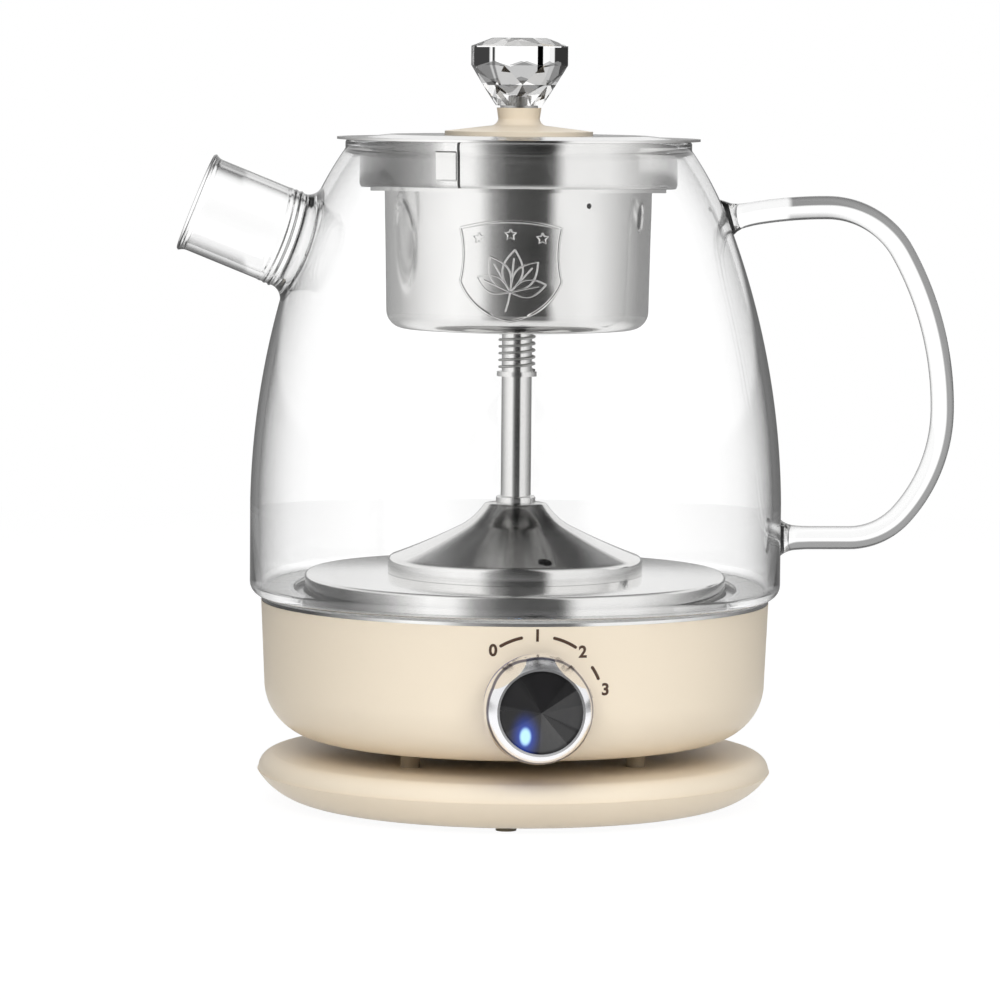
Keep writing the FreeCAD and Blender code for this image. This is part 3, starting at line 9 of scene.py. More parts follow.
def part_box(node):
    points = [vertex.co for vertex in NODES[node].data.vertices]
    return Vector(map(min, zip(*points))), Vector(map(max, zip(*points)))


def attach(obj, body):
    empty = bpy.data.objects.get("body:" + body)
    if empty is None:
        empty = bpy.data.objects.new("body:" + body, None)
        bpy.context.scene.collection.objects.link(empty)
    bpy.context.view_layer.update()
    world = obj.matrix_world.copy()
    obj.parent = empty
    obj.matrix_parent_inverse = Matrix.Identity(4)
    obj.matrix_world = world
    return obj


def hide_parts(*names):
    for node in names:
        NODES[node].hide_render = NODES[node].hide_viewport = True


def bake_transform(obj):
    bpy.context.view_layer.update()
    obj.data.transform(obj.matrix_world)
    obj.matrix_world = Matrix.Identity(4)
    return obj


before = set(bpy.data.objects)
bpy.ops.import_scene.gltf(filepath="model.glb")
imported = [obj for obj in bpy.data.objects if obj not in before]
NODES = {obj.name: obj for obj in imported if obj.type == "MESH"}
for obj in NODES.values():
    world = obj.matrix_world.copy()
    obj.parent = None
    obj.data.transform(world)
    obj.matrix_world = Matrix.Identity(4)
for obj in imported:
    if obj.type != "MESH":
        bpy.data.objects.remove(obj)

bl_info = {
    "name": "Glass Tea Maker",
    "version": (1, 0, 0),
    "blender": (4, 5, 0),
    "location": "3D View > Sidebar > Tea Maker",
    "description": "Finishes, glass, prints and stage of a glass tea maker",
    "category": "Object",
}

MM = 0.001
DEGREE = math.pi / 180
ON_AXIS = 1e-7
GLASS_COLUMNS = 288
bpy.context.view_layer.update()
GLASS_LOW, GLASS_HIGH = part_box("glass_body")
GLASS_REACH = min(GLASS_HIGH.x, GLASS_HIGH.y)
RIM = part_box("lid_plate")[0].z
KNOB = sum(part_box("knob_shell"), Vector()) / 2
SPRING_LOW, SPRING_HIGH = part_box("riser_spring")
PLATE_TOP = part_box("heating_plate")[1].z + 1.2 * MM
BAND_REACH = 41.4 * MM


def on_circle(reach, turn, height=0.0):
    """A point at a distance from Z, at an angle from +X."""
    return reach * math.cos(turn), reach * math.sin(turn), height


def upright(turn):
    """A direction in the plane of spout and handle, at an angle above +X."""
    return Vector((math.cos(turn), 0.0, math.sin(turn)))


BELL_HOLE_AT = Vector(on_circle(29.6 * MM, math.radians(-80.0)))
BELL_HOLE = 1.5 * MM


# ---------------------------------------------------------------- settings
def length(name, description, millimetres):
    return FloatProperty(
        name=name, description=description, default=millimetres * MM, unit="LENGTH", precision=5
    )


def turn_angle(name, description, degrees):
    return FloatProperty(
        name=name, description=description, default=math.radians(degrees), unit="ROTATION"
    )


def share(name, description, default):
    return FloatProperty(
        name=name, description=description, default=default, min=0.0, max=1.0, subtype="FACTOR"
    )


def colour(name, description, *default):
    return FloatVectorProperty(
        name=name, description=description, default=default, min=0.0, max=1.0, subtype="COLOR"
    )


class TeaFinishes(bpy.types.PropertyGroup):
    """Colours and gloss of the finishes"""

    cream: colour("Cream", "Colour of the cream plastic", 0.93, 0.82, 0.66)
    cream_gloss: share("Cream Roughness", "Roughness of the cream plastic", 0.38)
    steel: colour("Steel", "Colour of the stainless steel", 0.87, 0.865, 0.855)
    steel_gloss: share("Steel Roughness", "Roughness of the polished steel", 0.13)
    chrome: colour("Chrome", "Colour of the chromed knob", 0.93, 0.93, 0.95)
    glass_tint: colour("Glass Tint", "What thick glass lets through", 0.80, 0.805, 0.80)
    glass_depth: FloatProperty(
        name="Glass Density", description="Darkening of thick glass per metre", default=25.0
    )
    print_colour: colour("Dial Print", "Colour of the dial's print", 0.052, 0.026, 0.014)
    lamp: colour("Lamp", "Colour of the lamp behind the knob", 0.03, 0.22, 1.0)
    lamp_power: FloatProperty(name="Lamp Power", description="Strength of the lamp", default=9.0)


class TeaGlass(bpy.types.PropertyGroup):
    """Sizes of the fused glass jug"""

    wall: length("Wall", "Wall of the jug", 2.0)
    foot_arc: length("Foot Arc", "Rounded foot", 3.6)
    foot_floor: length("Foot Floor", "Thickness of the turned-in foot", 1.0)
    foot_inner: length("Foot Inner Arc", "Rounding inside the foot", 1.8)
    foot_lip: length("Foot Lip", "How far the foot turns in", 7.5)
    belly: length("Belly Height", "Where the side starts to lean in", 80.0)
    side_arc: length("Side Arc", "Arc of the leaning side", 213.0)
    shoulder: length("Shoulder Height", "Where the shoulder starts", 152.0)
    shoulder_radius: length("Shoulder Radius", "Radius of the glass there", 55.4)
    shoulder_arc: length("Shoulder Arc", "Arc of the shoulder", 89.0)
    neck: length("Neck Height", "Bottom of the neck", 171.6)
    neck_radius: length("Neck Radius", "Outside of the neck", 45.1)
    neck_bore: length("Neck Bore", "Bore of the neck", 42.0)
    spout_radius: length("Spout Radius", "Outside of the spout", 12.6)
    spout_wall: length("Spout Wall", "Wall of the spout", 1.8)
    spout_rise: turn_angle("Spout Rise", "Rise of the spout above level", 22.0)
    spout_reach: length("Spout Reach", "Middle of the mouth from the axis", 84.0)
    spout_height: length("Spout Height", "Middle of the mouth above the table", 157.6)
    spout_lip: length("Spout Lip", "Flare of the mouth", 0.7)
    spout_fillet: length("Spout Fillet", "Fused fillet at the spout's root", 3.4)
    spout_bead: length("Spout Bead", "Height of the ripple beside that fillet", 0.35)
    rod_radius: length("Handle Rod", "Radius of the handle's rod", 3.05)
    rod_root: length("Handle Root Height", "Upper start of the rod", 153.1)
    rod_reach: length("Handle Root Reach", "Its distance from the axis", 52.0)
    rod_weld: length("Handle Weld", "Radius of the fused ends", 5.3)
    rod_weld_length: length("Handle Weld Length", "Length of that swelling", 5.0)


class TeaPrint(bpy.types.PropertyGroup):
    """Print round the rotary knob"""

    circle: length("Circle", "Distance of the figures from the knob's axis", 17.9)
    figure: length("Figure Height", "Height of the figures", 2.9)
    line: length("Line Width", "Width of the dashes", 0.8)
    film: length("Film", "Thickness of the print", 0.03)


class TeaShield(bpy.types.PropertyGroup):
    """The raised shield on the basket"""

    width: length("Width", "Width over the ridge", 25.4)
    height: length("Height", "Height over the ridge", 25.4)
    middle: length("Middle", "Middle of the shield above the table", 141.2)
    bearing: turn_angle("Bearing", "Direction of the shield from the axis", -98.0)
    ridge: length("Ridge", "Half the width of the ridge", 0.5)
    wire: length("Motif Line", "Half the width of the motif's lines", 0.26)


class TeaStage(bpy.types.PropertyGroup):
    """Camera, lamps and floor"""

    distance: length("Camera Distance", "Camera to the jug's axis", 1357.0)
    height: length("Camera Height", "Camera above the table", 194.5)
    bearing: turn_angle("Bearing", "Camera's turn round the jug", -5.0)
    roll: turn_angle("Roll", "Camera's lean", 0.5)
    aim_side: length("Aim Side", "Point aimed at, left to right", -4.1)
    aim_height: length("Aim Height", "Point aimed at, above the table", 80.0)
    lens: FloatProperty(name="Lens", description="Focal length in millimetres", default=187.3)
    ambient: FloatProperty(name="Ambient", description="Light from all round", default=0.10)
    floor_radius: length("Floor Radius", "The floor ends out of the steel's sight", 900.0)
    floor_glow: share("Floor Glow", "How much of the floor's white is its own", 0.86)


# ---------------------------------------------------------------- shader nodes
def opaque(tone, by=1.0):
    """A colour for a socket, darkened by a factor."""
    return tuple(channel * by for channel in tone[:3]) + (1.0,)


def grey(level):
    return (level, level, level, 1.0)


def far(first, *others):
    """The length of a way whose parts are values."""
    return sum((part * part for part in others), first * first).root()


class Value:
    """An output of a material's nodes. Sums of values are written as Python expressions."""

    def __init__(self, finish, socket):
        self.finish = finish
        self.socket = socket

    def worked(self, operation, *values):
        return self.finish.node(
            "ShaderNodeMath", {"operation": operation}, dict(enumerate(values))
        )

    def __add__(self, other):
        return self.worked("ADD", self, other)

    def __radd__(self, other):
        return self.worked("ADD", other, self)

    def __sub__(self, other):
        return self.worked("SUBTRACT", self, other)

    def __rsub__(self, other):
        return self.worked("SUBTRACT", other, self)

    def __mul__(self, other):
        return self.worked("MULTIPLY", self, other)

    def __rmul__(self, other):
        return self.worked("MULTIPLY", other, self)

    def __truediv__(self, other):
        return self.worked("DIVIDE", self, other)

    def __rtruediv__(self, other):
        return self.worked("DIVIDE", other, self)

    def __gt__(self, other):
        return self.worked("GREATER_THAN", self, other)

    def __lt__(self, other):
        return self.worked("LESS_THAN", self, other)

    def root(self):
        return self.worked("SQRT", self)

    def eased(self, start, end):
        """Nought before start and one after end, with a soft change between."""
        return self.finish.node(
            "ShaderNodeMapRange", {"interpolation_type": "SMOOTHSTEP"},
            {"Value": self, "From Min": start, "From Max": end},
        )


class Finish:
    """The nodes of one material or of the world."""

    def __init__(self, name, block=None):
        self.block = block or bpy.data.materials.new(name)
        self.block.use_nodes = True
        self.tree = self.block.node_tree
        self.tree.nodes.clear()

    def node(self, kind, settings=None, inputs=None, output=0):
        """Adds a node. A closing node has no output to hand back."""
        made = self.tree.nodes.new(kind)
        for name, value in (settings or {}).items():
            if name == "stops":
                self.set_stops(made.color_ramp, value)
            else:
                setattr(made, name, value)
        for name, value in (inputs or {}).items():
            if isinstance(value, Value):
                self.tree.links.new(value.socket, made.inputs[name])
            else:
                made.inputs[name].default_value = value
        return Value(self, made.outputs[output]) if made.outputs else None

    @staticmethod
    def set_stops(ramp, stops):
        while len(ramp.elements) < len(stops):
            ramp.elements.new(1.0)
        for element, (place, tone) in zip(ramp.elements, stops):
            element.position = place
            element.color = tone

    def where(self, kind="Object"):
        """The point in the object's own metres, or another coordinate by its name."""
        return self.node("ShaderNodeTexCoord", output=kind)

    def axes(self, point=None):
        """The three parts of a vector, or of the point in the object's own metres."""
        split = self.node("ShaderNodeSeparateXYZ", inputs={"Vector": point or self.where()})
        outputs = split.socket.node.outputs
        return [Value(self, outputs[axis]) for axis in "XYZ"]

    def noise(self, point, scale, detail=2.0, roughness=0.5):
        return self.node(
            "ShaderNodeTexNoise", None,
            {"Vector": point, "Scale": scale, "Detail": detail, "Roughness": roughness},
        )

    def mixed(self, factor, first, second):
        return self.node(
            "ShaderNodeMix", {"data_type": "RGBA"}, {0: factor, 6: first, 7: second}, output=2
        )

    def ramp(self, factor, levels):
        """A grey that follows the factor through (place, level) pairs."""
        stops = [(place, grey(level)) for place, level in levels]
        return self.node("ShaderNodeValToRGB", {"stops": stops}, {0: factor})

    def around(self, x, y, levels):
        """A grey by the direction round Z, in degrees from the front towards the right."""
        turn = x.worked("ARCTAN2", x, 0.0 - y)
        return self.ramp(turn / math.tau + 0.5, [(0.5 + at / 360, level) for at, level in levels])

    def bump(self, height, depth, strength=1.0):
        return self.node(
            "ShaderNodeBump", None, {"Height": height, "Distance": depth, "Strength": strength}
        )

    def principled(self, sockets):
        """A Principled surface. Names of sockets are written with underscores."""
        named = {name.replace("_", " "): value for name, value in sockets.items()}
        return self.node("ShaderNodeBsdfPrincipled", None, named)

    def surface(self, **sockets):
        """Ends the material with a Principled surface."""
        return self.finish_with(Surface=self.principled(sockets))

    def finish_with(self, kind="ShaderNodeOutputMaterial", **ends):
        """Closes the nodes with what reaches the surface, and the volume where it has one."""
        self.node(kind, None, ends)
        return self.block


# ---------------------------------------------------------------- finishes
def cream_plastic(tones):
    finish = Finish("tea_cream")
    point = finish.where()
    cloud = finish.noise(point, 22.0)
    grain = finish.noise(point, 2600.0, roughness=0.6)
    return finish.surface(
        Base_Color=finish.mixed(
            cloud * 0.5 + grain * 0.12, opaque(tones.cream), opaque(tones.cream, 0.94)
        ),
        Roughness=tones.cream_gloss + (cloud - 0.5) * 0.06 + (grain - 0.5) * 0.05,
        Normal=finish.bump(grain, 0.03 * MM, 0.35),
        Specular_IOR_Level=0.12,
        Coat_Weight=0.03,
        Coat_Roughness=0.12,
    )


def moulded(name, tone, roughness, grain_size=0.5 * MM):
    """A plain moulded plastic or rubber."""
    finish = Finish(name)
    point = finish.where()
    grain = finish.noise(point, 1.0 / grain_size, roughness=0.6)
    cloud = finish.noise(point, 60.0)
    return finish.surface(
        Base_Color=finish.mixed(cloud, opaque(tone), opaque(tone, 0.8)),
        Roughness=roughness + (grain - 0.5) * 0.12,
        Normal=finish.bump(grain, 0.04 * MM, 0.4),
    )


def plain_metal(name, tone, roughness):
    finish = Finish(name)
    point = finish.where()
    cloud = finish.noise(point, 120.0, 3.0)
    scratch = finish.noise(point, 1500.0, roughness=0.7)
    return finish.surface(
        Base_Color=finish.mixed(cloud, opaque(tone), opaque(tone, 0.82)),
        Metallic=1.0,
        Roughness=roughness + (scratch - 0.5) * 0.1,
        Normal=finish.bump(scratch, 0.01 * MM, 0.3),
    )


def polished_steel(name, tones, line_scale=2600.0, line_depth=0.004 * MM, shade=None):
    """Turned or rolled steel with fine rings round the axis and faint handling marks. A shade,
    where given, darkens its colour as painted reflection.
    """
    finish = Finish(name)
    x, y, z = finish.axes()
    spun = finish.node("ShaderNodeCombineXYZ", inputs={"X": far(x, y), "Z": z})
    lines = finish.noise(spun, line_scale, 3.0, 0.6)
    cloud = finish.noise(finish.where(), 45.0, 3.0)
    tone = finish.mixed(cloud * 0.6, opaque(tones.steel), opaque(tones.steel, 0.9))
    # painted reflection: the shade darkens the steel's colour where it would mirror dark
    # surroundings
    if shade:
        tone = finish.mixed(shade(finish), grey(0.0), tone)
    return finish.surface(
        Base_Color=tone,
        Metallic=1.0,
        Roughness=tones.steel_gloss + (cloud - 0.5) * 0.06 + (lines - 0.5) * 0.07,
        Normal=finish.bump(lines, line_depth, 0.5),
    )


def bell_shade(finish):
    """Painted reflection: soft dark and bright streaks down the bell's side, and painted shade
    round its hole.
    """
    x, y, z = finish.axes()
    # painted reflection: dark and bright streaks by direction round the bell, in place of the
    # surroundings its side mirrors
    streaks = finish.around(x, y, (
        (-66, 1.0), (-57, 0.32), (-50, 0.24), (-38, 0.42), (-25, 0.28), (-12, 0.5), (-4, 0.26),
        (18, 0.34), (40, 0.16), (52, 0.16), (58, 1.0)))
    # painted shade: the colour falls to a tenth within about 1.7 mm of the hole's axis
    hole = far(x - BELL_HOLE_AT.x, y - BELL_HOLE_AT.y).eased(1.7 * MM, 2.0 * MM)
    flank = z.eased(64.0 * MM, 64.8 * MM)
    return (1.0 - (1.0 - streaks) * flank) * (0.1 + hole * 0.9)


def band_shade(finish):
    """Painted reflection: the band round the lid, darkened on both sides where it would mirror dark
    surroundings.
    """
    x, y, z = finish.axes()
    # painted reflection: darker towards both sides of the band
    return finish.around(x, y, (
        (-100, 0.3), (-73, 0.2), (-53, 0.22), (-43, 0.35), (-37, 0.5), (-31, 1.0), (48, 1.0),
        (62, 0.6), (75, 0.45), (100, 0.3)))


def plate_shade(finish):
    """Painted reflection: the plate's step, darkened where nothing bright faces it to be mirrored.
    """
    x, y, z = finish.axes()
    step = 1.0 - z.eased(59.0 * MM, 59.5 * MM)
    # painted reflection: the step's colour darkened by direction round the axis
    painted_reflection_level = finish.around(x, y, (
        (-95, 0.1), (-56, 0.12), (-42, 0.4), (-28, 1.0), (40, 1.0), (56, 0.6), (95, 0.3)))
    return 1.0 - (1.0 - painted_reflection_level) * step


def seal_rubber(tones):
    """Milky silicone with a faint painted glow, standing in for the light which the glass foot lets
    onto it.
    """
    finish = Finish("seal_rubber")
    grain = finish.noise(finish.where(), 900.0)
    return finish.surface(
        Base_Color=finish.mixed(grain, (0.85, 0.85, 0.83, 1.0), (0.7, 0.7, 0.68, 1.0)),
        Roughness=0.5 + grain * 0.1,
        # painted light: a faint glow on the seal, standing in for light that reaches it through the
        # glass
        Emission_Color=finish.mixed(grain, grey(0.9), grey(0.7)),
        Emission_Strength=0.2,
    )


def clear_glass(tones):
    """Clear glass, with painted dark where a look runs along its wall and a painted dark band down
    the handle's outside, both standing in for dark surroundings seen in it.
    """
    finish = Finish("clear_glass")
    point = finish.where()
    x, y, z = finish.axes(point)
    grazing = finish.node("ShaderNodeLayerWeight", None, {"Blend": 0.5}, output=1)
    # painted reflection: the colour darkens towards grazing looks, on the jug's wall and more
    # quickly on glass more than about 71 mm from the axis
    wall = finish.ramp(grazing, (
        (0.5, 1.0), (0.64, 0.88), (0.8, 0.72), (0.87, 0.4), (0.93, 0.12), (1.0, 0.03)))
    thin = finish.ramp(grazing, ((0.28, 1.0), (0.45, 0.75), (0.6, 0.3), (0.8, 0.06), (1.0, 0.03)))
    # painted reflection: a dark band down the handle's outer side, a little lighter at its very rim
    outside = far(x, y).eased(70.2 * MM, 72.0 * MM)
    facing_x, _, facing_z = finish.axes(finish.where("Normal"))
    along, up = x - 85.0 * MM, z - 112.0 * MM
    lean = (facing_x * along + facing_z * up) / far(along, up)
    edge = 1.0 - lean.eased(0.9, 0.96) * 0.3
    streak = lean.eased(0.12, 0.3) * edge * outside * (x > 0.0)
    surface = finish.principled({
        "Base_Color": finish.mixed(streak * 0.92, finish.mixed(outside, wall, thin), grey(0.02)),
        "Roughness": 0.0,
        "IOR": 1.47,
        "Transmission_Weight": 1.0,
        "Normal": finish.bump(finish.noise(point, 38.0, 1.0), 0.05 * MM, 0.25),
    })
    inside = finish.node("ShaderNodeVolumeAbsorption", None, {
        "Color": opaque(tones.glass_tint), "Density": tones.glass_depth,
    })
    return finish.finish_with(Surface=surface, Volume=inside)


def cut_crystal(tones):
    """Clear crystal with painted reflections: dark and grey facets in place of what its cut would
    mirror into it.
    """
    finish = Finish("cut_crystal")
    point = finish.where()
    haze = finish.noise(point, 300.0)
    x, y, z = finish.axes(point)
    low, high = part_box("crystal_knob")
    tall = high.z - low.z
    # painted reflection: dark side facets by direction round the axis
    dark = finish.around(x, y, (
        (-75, 1.0), (-73, 0.0), (-44, 0.0), (-43, 1.0), (-41, 1.0), (-40, 0.0), (-36, 0.0),
        (-35, 1.0), (33, 1.0), (34, 0.7), (42, 0.7), (43, 0.0), (66, 0.0), (67, 1.0)))
    sides = (z > low.z + 0.3 * tall) * (z < low.z + 0.86 * tall)
    # painted reflection: a grey zigzag band across the middle
    teeth = x.worked("PINGPONG", x + 0.1, 4.2 * MM) * 0.35
    band = (z + teeth > low.z + 0.36 * tall) * (z + teeth < low.z + 0.66 * tall)
    clear = 1.0 - (1.0 - dark) * sides
    return finish.surface(
        Base_Color=finish.mixed(
            band * 0.75, finish.mixed(clear, grey(0.0), grey(1.0)), grey(0.05)
        ),
        Roughness=haze * 0.01,
        IOR=1.54,
        Transmission_Weight=1.0,
    )


def from_knob(finish):
    """Distances to the right of the knob's axis and above it."""
    x, y, z = finish.axes()
    return x - KNOB.x, z - KNOB.z


def black_gem(tones):
    """Near-black glassy facets, some painted paler as reflections, with a painted glow where the
    lamp behind shines through.
    """
    finish = Finish("black_gem")
    side, rise = from_knob(finish)
    smoke = finish.noise(finish.where(), 260.0, 3.0, 0.6)
    # painted light: a blue glow on the gem round the lamp's place, standing in for the lamp behind
    # it
    off_lamp = far(side + 3.9 * MM, (rise + 6.0 * MM) * 0.62)
    core = 1.0 - off_lamp.eased(0.8 * MM, 1.8 * MM)
    glow = 1.0 - off_lamp.eased(0.8 * MM, 5.2 * MM)
    lit = finish.mixed(core, (0.012, 0.09, 0.75, 1.0), (0.55, 0.92, 1.0, 1.0))
    # painted reflection: some facets paler by their direction round the knob's axis
    facets = finish.around(side, 0.0 - rise, (
        (-180, 0.05), (-176, 0.012), (-90, 0.016), (-40, 0.022), (-20, 0.010), (57, 0.008),
        (59, 0.060), (113, 0.050), (116, 0.014), (139, 0.012), (142, 0.065), (179, 0.05)))
    return finish.surface(
        Base_Color=finish.mixed(smoke * 0.5, facets, (0.02, 0.019, 0.022, 1.0)),
        Roughness=0.16 + smoke * 0.16,
        Coat_Weight=0.25,
        Coat_Roughness=0.04,
        Emission_Color=finish.mixed(glow * glow * 0.5 + core, grey(0.0), lit),
        Emission_Strength=1.0,
    )


def knob_chrome(tones):
    """Chrome with a painted dark line near its edge, as shade in the gap there."""
    finish = Finish("knob_chrome")
    reach = far(*from_knob(finish))
    # painted shade: a dark ring 12.8 to 13.5 mm from the knob's axis
    line = reach.eased(12.8 * MM, 13.0 * MM) * (1.0 - reach.eased(13.3 * MM, 13.5 * MM))
    scratch = finish.noise(finish.where(), 1500.0, roughness=0.7)
    return finish.surface(
        Base_Color=finish.mixed(line * 0.85, opaque(tones.chrome), (0.03, 0.03, 0.10, 1.0)),
        Metallic=1.0,
        Roughness=0.15 + scratch * 0.06,
    )


def lamp_lens(tones):
    finish = Finish("lamp_lens")
    cells = finish.noise(finish.where(), 900.0)
    return finish.surface(
        Base_Color=opaque(tones.lamp),
        Roughness=0.25 + cells * 0.1,
        Emission_Color=finish.mixed(cells, opaque(tones.lamp), (0.3, 0.7, 1.0, 1.0)),
        Emission_Strength=tones.lamp_power,
    )


def lit_ring(tones):
    """Milky ring behind the knob with a painted glow, blue where the lamp stands."""
    finish = Finish("lit_ring")
    side, rise = from_knob(finish)
    near = 1.0 - far(side + 4.2 * MM, rise + 7.2 * MM).eased(2.0 * MM, 13.0 * MM)
    grain = finish.noise(finish.where(), 1400.0)
    return finish.surface(
        Base_Color=finish.mixed(grain * 0.2, (0.30, 0.28, 0.36, 1.0), (0.2, 0.19, 0.26, 1.0)),
        Roughness=0.35 + grain * 0.1,
        # painted light: the ring glows faintly all round and blue near the lamp, standing in for
        # the lamp's light in it
        Emission_Color=finish.mixed(near, (0.02, 0.015, 0.05, 1.0), (0.08, 0.16, 0.9, 1.0)),
        Emission_Strength=0.35,
    )


def printed_ink(tones):
    finish = Finish("printed_ink")
    speck = finish.noise(finish.where(), 3000.0, roughness=0.7)
    return finish.surface(
        Base_Color=finish.mixed(
            speck, opaque(tones.print_colour), opaque(tones.print_colour, 1.7)
        ),
        Roughness=0.42 + speck * 0.15,
    )


def circuit_board(tones):
    finish = Finish("circuit_board")
    point = finish.where()
    tracks = finish.node("ShaderNodeTexBrick", None, {
        "Vector": point, "Scale": 260.0, "Mortar Size": 0.03,
        "Color1": (0.015, 0.13, 0.05, 1.0), "Color2": (0.02, 0.16, 0.06, 1.0),
        "Mortar": (0.06, 0.24, 0.1, 1.0),
    })
    return finish.surface(Base_Color=tracks, Roughness=0.4 + finish.noise(point, 500.0) * 0.1)


PLASTICS = {
    "tea_black": ((0.018, 0.017, 0.017), 0.5),
    "tea_grey": ((0.42, 0.40, 0.37), 0.5),
    "tea_rubber": ((0.58, 0.50, 0.38), 0.62, 0.25 * MM),
}
METALS = {
    "tea_screw": ((0.55, 0.55, 0.54), 0.32),
    "tea_brass": ((0.72, 0.50, 0.20), 0.28),
    "dull_aluminium": ((0.52, 0.53, 0.54), 0.42),
}
STEELS = {
    "tea_steel": {},
    "plate_steel": {"line_scale": 1900.0, "line_depth": 0.002 * MM, "shade": plate_shade},
    "band_steel": {"shade": band_shade},
    "bell_steel": {"line_scale": 1500.0, "line_depth": 0.001 * MM, "shade": bell_shade},
}
OTHERS = {
    "tea_cream": cream_plastic, "seal_rubber": seal_rubber, "clear_glass": clear_glass,
    "cut_crystal": cut_crystal, "black_gem": black_gem, "knob_chrome": knob_chrome,
    "lamp_lens": lamp_lens, "lit_ring": lit_ring, "printed_ink": printed_ink,
    "circuit_board": circuit_board,
}


def finished(name):
    """A finish by its name, made when it is first asked for."""
    tones = bpy.context.scene.tea_finishes
    made = bpy.data.materials.get(name)
    if made:
        return made
    if name in PLASTICS:
        return moulded(name, *PLASTICS[name])
    if name in METALS:
        return plain_metal(name, *METALS[name])
    if name in STEELS:
        return polished_steel(name, tones, **STEELS[name])
    return OTHERS[name](tones)


# ---------------------------------------------------------------- dressing
def dress(**finishes):
    """Gives CAD nodes their finish, as finish="node node". Their shapes stay."""
    for finish, names in finishes.items():
        for name in names.split():
            node = NODES[name]
            node.data.materials.clear()
            node.data.materials.append(finished(finish))


def added(name, mesh, finish, body=None, replaced=()):
    """Puts a new piece on its body."""
    piece = bpy.data.objects.new(name, mesh)
    bpy.context.scene.collection.objects.link(piece)
    mesh.materials.clear()
    mesh.materials.append(finished(finish))
    if body:
        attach(piece, body)
    if replaced:
        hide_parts(*replaced)
    return piece


def smoothed(mesh, sharp_degrees=40.0):
    """Smooth shading that breaks at edges sharper than the angle."""
    mesh.shade_smooth()
    mesh.set_sharp_from_angle(angle=math.radians(sharp_degrees))
    return mesh


# ---------------------------------------------------------------- outlines and turned solids
def arc_points(start, end, radius, left=False, step=1.0 * MM):
    """Points after start up to end, on an arc that bulges to the right of the way, or left."""
    start, end = Vector(start), Vector(end)
    chord = end - start
    rise = math.sqrt(max(radius * radius - chord.length_squared / 4, 0.0))
    across = Vector((chord.y, -chord.x)).normalized()
    centre = (start + end) / 2 + across * (rise if left else -rise)
    first = math.atan2(start.y - centre.y, start.x - centre.x)
    last = math.atan2(end.y - centre.y, end.x - centre.x)
    sweep = (last - first + math.pi) % math.tau - math.pi
    count = max(3, math.ceil(abs(sweep) * radius / step))
    return [
        (centre.x + radius * math.cos(first + sweep * part / count),
         centre.y + radius * math.sin(first + sweep * part / count))
        for part in range(1, count + 1)
    ]


def outline(*steps, step=1.0 * MM):
    """A line of points. A step ("arc", radius, left) leads to the point after it."""
    points, pending = [], None
    for entry in steps:
        if entry[0] == "arc":
            pending = entry[1:]
        elif pending is not None:
            points += arc_points(points[-1], entry, *pending, step=step)
            pending = None
        else:
            points.append(tuple(entry))
    return points


def turned(points, around=192):
    """A bmesh of a closed outline of (radius, height) points turned round Z."""
    made = bmesh.new()
    rings = []
    for reach, height in points:
        if reach < ON_AXIS:
            rings.append([made.verts.new((0.0, 0.0, height))])
            continue
        rings.append([
            made.verts.new(on_circle(reach, math.tau * i / around, height)) for i in range(around)
        ])
    for low, high in zip(rings, rings[1:] + rings[:1]):
        stitch(made, low, high, around)
    return made


def stitch(made, low, high, around):
    """Faces between two rings, either of which may be one point."""
    if len(low) == 1 and len(high) == 1:
        return
    for i in range(around):
        after = (i + 1) % around
        corners = [low[i % len(low)], low[after % len(low)],
                   high[after % len(high)], high[i % len(high)]]
        unique = list(dict.fromkeys(corners))
        if len(unique) > 2:
            made.faces.new(unique)


def tubed(made, rings, around):
    """Faces along a row of rings, closed at both ends."""
    for low, high in zip(rings, rings[1:]):
        stitch(made, low, high, around)
    for end in (rings[0], rings[-1]):
        made.faces.new(end)


def meshed(made, name):
    """Ends a bmesh as a mesh with its faces turned outwards."""
    bmesh.ops.recalc_face_normals(made, faces=made.faces)
    mesh = bpy.data.meshes.new(name)
    made.to_mesh(mesh)
    made.free()
    return mesh


def part_turned(name, profile, first, last, columns):
    """An outline of (radius, height) points turned from one direction to another, in degrees."""
    made = bmesh.new()
    slices = []
    for part in range(columns + 1):
        turn = math.radians(first + (last - first) * part / columns)
        slices.append([made.verts.new(on_circle(reach, turn, height)) for reach, height in profile])
    tubed(made, slices, len(profile))
    return meshed(made, name)


def held(name, data):
    """An object that holds a shape only while it is being made."""
    holder = bpy.data.objects.new(f"{name}_making", data)
    bpy.context.scene.collection.objects.link(holder)
    return holder


def evaluated(name, holder):
    """The mesh that a holder's curve, text or modifiers give."""
    graph = bpy.context.evaluated_depsgraph_get()
    mesh = bpy.data.meshes.new_from_object(holder.evaluated_get(graph))
    mesh.name = name
    bpy.data.objects.remove(holder)
    return mesh


def combined(name, base, joined, removed):
    """The base mesh with some meshes joined to it and others taken out."""
    holder = held(name, base)
    tools = []
    for operation, meshes in (("UNION", joined), ("DIFFERENCE", removed)):
        for mesh in meshes:
            tools.append(held(f"{name}_tool", mesh))
            step = holder.modifiers.new(operation.lower(), "BOOLEAN")
            step.operation = operation
            step.solver = "MANIFOLD"
            step.object = tools[-1]
    result = evaluated(name, holder)
    for tool in tools:
        bpy.data.objects.remove(tool)
    return result


